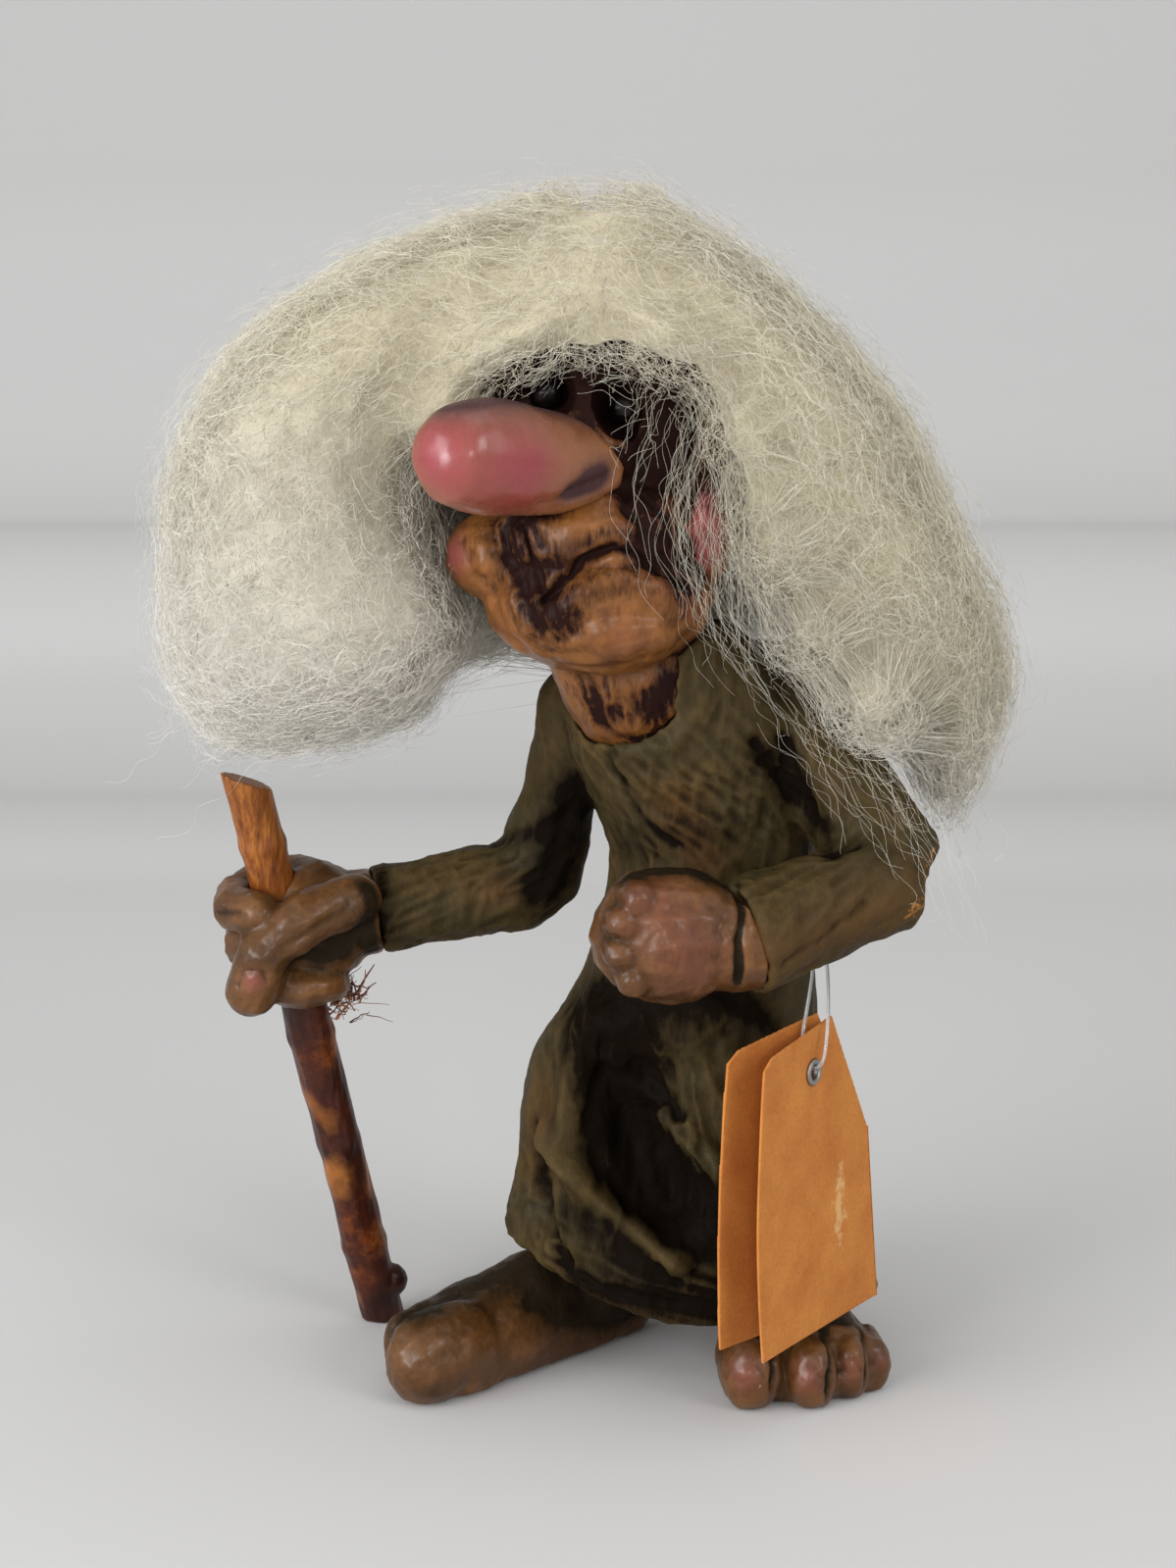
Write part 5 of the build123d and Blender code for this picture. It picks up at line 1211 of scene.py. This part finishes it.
class TROLL_OT_tag(bpy.types.Operator):
    """Dresses the folded card and its eyelet"""

    bl_idname = "troll.tag"
    bl_label = "Swing Tag"

    def execute(self, context):
        # Uncoated kraft card: dull, speckled with short fibres, and paler where its surface is scuffed.
        material, tree = new_material("Uncoated Kraft Card")
        place = node(tree, "ShaderNodeTexCoord").outputs["Object"]
        pulp = node(tree, "ShaderNodeTexNoise", {"Vector": place, "Scale": 1 / (7.0 * MM), "Detail": 6.0,
                                                 "Roughness": 0.6}).outputs["Fac"]
        speck = node(tree, "ShaderNodeTexNoise", {"Vector": place, "Scale": 1 / (0.5 * MM),
                                                  "Detail": 3.0}).outputs["Fac"]
        tint = node(tree, "ShaderNodeValToRGB", {"Fac": pulp}, stops=[(0.3, paint("#B46D33")),
                                                                     (0.7, paint("#C6823F"))]).outputs["Color"]
        fibre = node(tree, "ShaderNodeMapRange", {"Value": speck, "From Min": 0.3, "From Max": 0.7, "To Min": 0.88,
                                                  "To Max": 1.06}).outputs["Result"]
        colour = node(tree, "ShaderNodeMix", {0: 1.0, 6: tint, 7: fibre}, data_type="RGBA",
                      blend_type="MULTIPLY").outputs[2]
        # Where the surface has been torn off, the paler core of the card shows in a tall ragged patch.
        shifted = node(tree, "ShaderNodeVectorMath", {0: place, 1: TORN_PLACE * MM},
                       operation="SUBTRACT").outputs["Vector"]
        tall = node(tree, "ShaderNodeVectorMath", {0: shifted, 1: (1.0, 1.0, 0.32)},
                    operation="MULTIPLY").outputs["Vector"]
        off = node(tree, "ShaderNodeVectorMath", {0: tall}, operation="LENGTH").outputs["Value"]
        edge = node(tree, "ShaderNodeTexNoise", {"Vector": place, "Scale": 1 / (2.2 * MM), "Detail": 5.0,
                                                 "Roughness": 0.7}).outputs["Fac"]
        ragged = node(tree, "ShaderNodeMath", {0: edge, 1: -TORN_STRAY * MM, 2: off},
                      operation="MULTIPLY_ADD").outputs["Value"]
        torn = node(tree, "ShaderNodeMapRange", {
            "Value": ragged, "From Min": -TORN_STARTS * MM, "From Max": -TORN_FULL * MM, "To Max": 0.8
        }).outputs["Result"]
        colour = node(tree, "ShaderNodeMix", {0: torn, 6: colour, 7: paint("#D6AC74")}, data_type="RGBA").outputs[2]
        relief = node(tree, "ShaderNodeBump", {"Height": speck, "Strength": 0.25,
                                               "Distance": 0.1 * MM}).outputs["Normal"]
        shader = node(tree, "ShaderNodeBsdfPrincipled", {"Base Color": colour, "Roughness": 0.8, "Normal": relief,
                                                         "Specular IOR Level": 0.2})
        node(tree, "ShaderNodeOutputMaterial", {"Surface": shader.outputs["BSDF"]})
        for side, curl, seed in (("front", 1.1, 101), ("rear", 0.9, 102)):
            leaf = Clay(f"Tag_{side}_leaf", [f"tag_{side}_leaf"], 0.2, 3)
            # A card that has been handled curls at its free corners; the fold and the eyelet hold the rest.
            off = leaf.places - np.array(FOLD_PLACE)
            across = np.clip(-(off @ np.array(LEAF_WAY)) / LEAF_WIDTH, 0, 1)
            middle = leaf.places[:, 2].min() * 0.5 + leaf.places[:, 2].max() * 0.5
            up = (leaf.places[:, 2] - middle) / (leaf.places[:, 2].max() - middle)
            bend = across ** 2 * (up ** 2 - 0.5) * curl + 0.25 * unevenness(leaf.places, 14.0, seed) * across
            leaf.places += np.array(LEAF_NORMAL)[None] * bend[:, None]
            leaf.finish(material, f"{side}_leaf")
        self.crease(material, context.scene.troll_tag.card / MM)
        self.eyelet()
        return {"FINISHED"}

    def crease(self, material, thick):
        """The bent card of the fold, round the line on which the rear leaf turns."""
        way = FOLD_WAY.normalized()
        out = way.cross(LEAF_NORMAL).normalized()
        if out.dot(LEAF_WAY) < 0:
            out = -out
        play = 0.15
        radius = thick + play
        steps = 8
        bend = bmesh.new()
        rings = []
        for rise in (0.0, FOLD_LENGTH):
            ring = []
            for k in range(steps + 1):
                angle = math.pi * (k / steps - 0.5)
                ring.append(bend.verts.new((FOLD_PLACE + way * rise + out * radius * math.cos(angle)
                                            + LEAF_NORMAL * radius * math.sin(angle)) * MM))
            rings.append(ring)
        low, high = rings
        for k in range(steps):
            bend.faces.new((low[k], low[k + 1], high[k + 1], high[k]))
        for ring in rings:
            bend.faces.new(ring)
        bend.faces.new((low[0], high[0], high[-1], low[-1]))
        bmesh.ops.recalc_face_normals(bend, faces=bend.faces)
        mesh = bpy.data.meshes.new("Tag crease")
        bend.to_mesh(mesh)
        bend.free()
        mesh.materials.append(material)
        crease = new_object("Tag_crease", mesh)
        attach(crease, "front_leaf")

    def eyelet(self):
        """A rolled eyelet, turned from a domed profile."""
        # Stamped aluminium gone dull: soft grey, a little brushed by handling.
        material, tree = new_material("Dulled Stamped Aluminium")
        place = node(tree, "ShaderNodeTexCoord").outputs["Object"]
        rub = node(tree, "ShaderNodeTexNoise", {"Vector": place, "Scale": 1 / (0.6 * MM)}).outputs["Fac"]
        gloss = node(tree, "ShaderNodeMapRange", {"Value": rub, "To Min": 0.28, "To Max": 0.55}).outputs["Result"]
        shader = node(tree, "ShaderNodeBsdfPrincipled", {"Base Color": paint("#9C9A96"), "Metallic": 1.0,
                                                         "Roughness": gloss})
        node(tree, "ShaderNodeOutputMaterial", {"Surface": shader.outputs["BSDF"]})
        # In mm: half the thickness that it grips, and the radii of its hole and its flange
        half, hole, wide = 0.275, 1.1, 2.0
        section = [(hole, -half - 0.10), (hole, half + 0.10), (hole + 0.12, half + 0.30), (hole + 0.35, half + 0.38),
                   (wide - 0.25, half + 0.28), (wide, half + 0.05), (wide - 0.1, half), (hole + 0.35, half),
                   (hole + 0.35, -half), (wide - 0.1, -half), (wide, -half - 0.05), (wide - 0.25, -half - 0.28),
                   (hole + 0.35, -half - 0.38), (hole + 0.12, -half - 0.30)]
        turned = bmesh.new()
        side, up = LEAF_WAY.normalized(), Vector((0, 0, 1))
        rings = []
        turns = 40
        for k in range(turns):
            angle = 2 * math.pi * k / turns
            out = side * math.cos(angle) + up * math.sin(angle)
            rings.append([turned.verts.new((TAG_HOLE + out * r + LEAF_NORMAL * h) * MM) for r, h in section])
        for ring, following in zip(rings, rings[1:] + rings[:1]):
            for k in range(len(section)):
                turned.faces.new((ring[k - 1], ring[k], following[k], following[k - 1]))
        bmesh.ops.recalc_face_normals(turned, faces=turned.faces)
        mesh = bpy.data.meshes.new("Eyelet")
        turned.to_mesh(mesh)
        turned.free()
        mesh.shade_smooth()
        mesh.materials.append(material)
        eyelet = new_object("Eyelet", mesh)
        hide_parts("tag_eyelet")
        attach(eyelet, "eyelet")


class TROLL_PT_panel(bpy.types.Panel):
    """Lists the steps and their settings"""

    bl_label = "Troll"
    bl_idname = "TROLL_PT_panel"
    bl_space_type = "VIEW_3D"
    bl_region_type = "UI"
    bl_category = "Troll"

    def draw(self, context):
        for group, steps in (("troll_stage", ["troll.stage"]), ("troll_tag", ["troll.thread", "troll.tag"]),
                             ("troll_figure", ["troll.clothes", "troll.head", "troll.limbs", "troll.stick"]),
                             ("troll_wool", ["troll.wool"])):
            box = self.layout.box()
            settings = getattr(context.scene, group)
            for name in settings.__annotations__:
                box.prop(settings, name)
            for step in steps:
                box.operator(step)


SETTINGS = {"troll_figure": TrollFigureSettings, "troll_wool": TrollWoolSettings, "troll_tag": TrollTagSettings,
            "troll_stage": TrollStageSettings}
CLASSES = [*SETTINGS.values(), TROLL_OT_stage, TROLL_OT_thread, TROLL_OT_clothes, TROLL_OT_head, TROLL_OT_limbs,
           TROLL_OT_stick, TROLL_OT_wool, TROLL_OT_tag, TROLL_PT_panel]


def register():
    for each in CLASSES:
        bpy.utils.register_class(each)
    for name, group in SETTINGS.items():
        setattr(bpy.types.Scene, name, PointerProperty(type=group))


def unregister():
    for name in SETTINGS:
        delattr(bpy.types.Scene, name)
    for each in reversed(CLASSES):
        bpy.utils.unregister_class(each)


def main():
    register()
    for step in (bpy.ops.troll.stage, bpy.ops.troll.thread, bpy.ops.troll.clothes, bpy.ops.troll.head,
                 bpy.ops.troll.limbs, bpy.ops.troll.stick, bpy.ops.troll.wool, bpy.ops.troll.tag):
        step()
    bpy.context.view_layer.update()


if __name__ == "__main__":
    main()
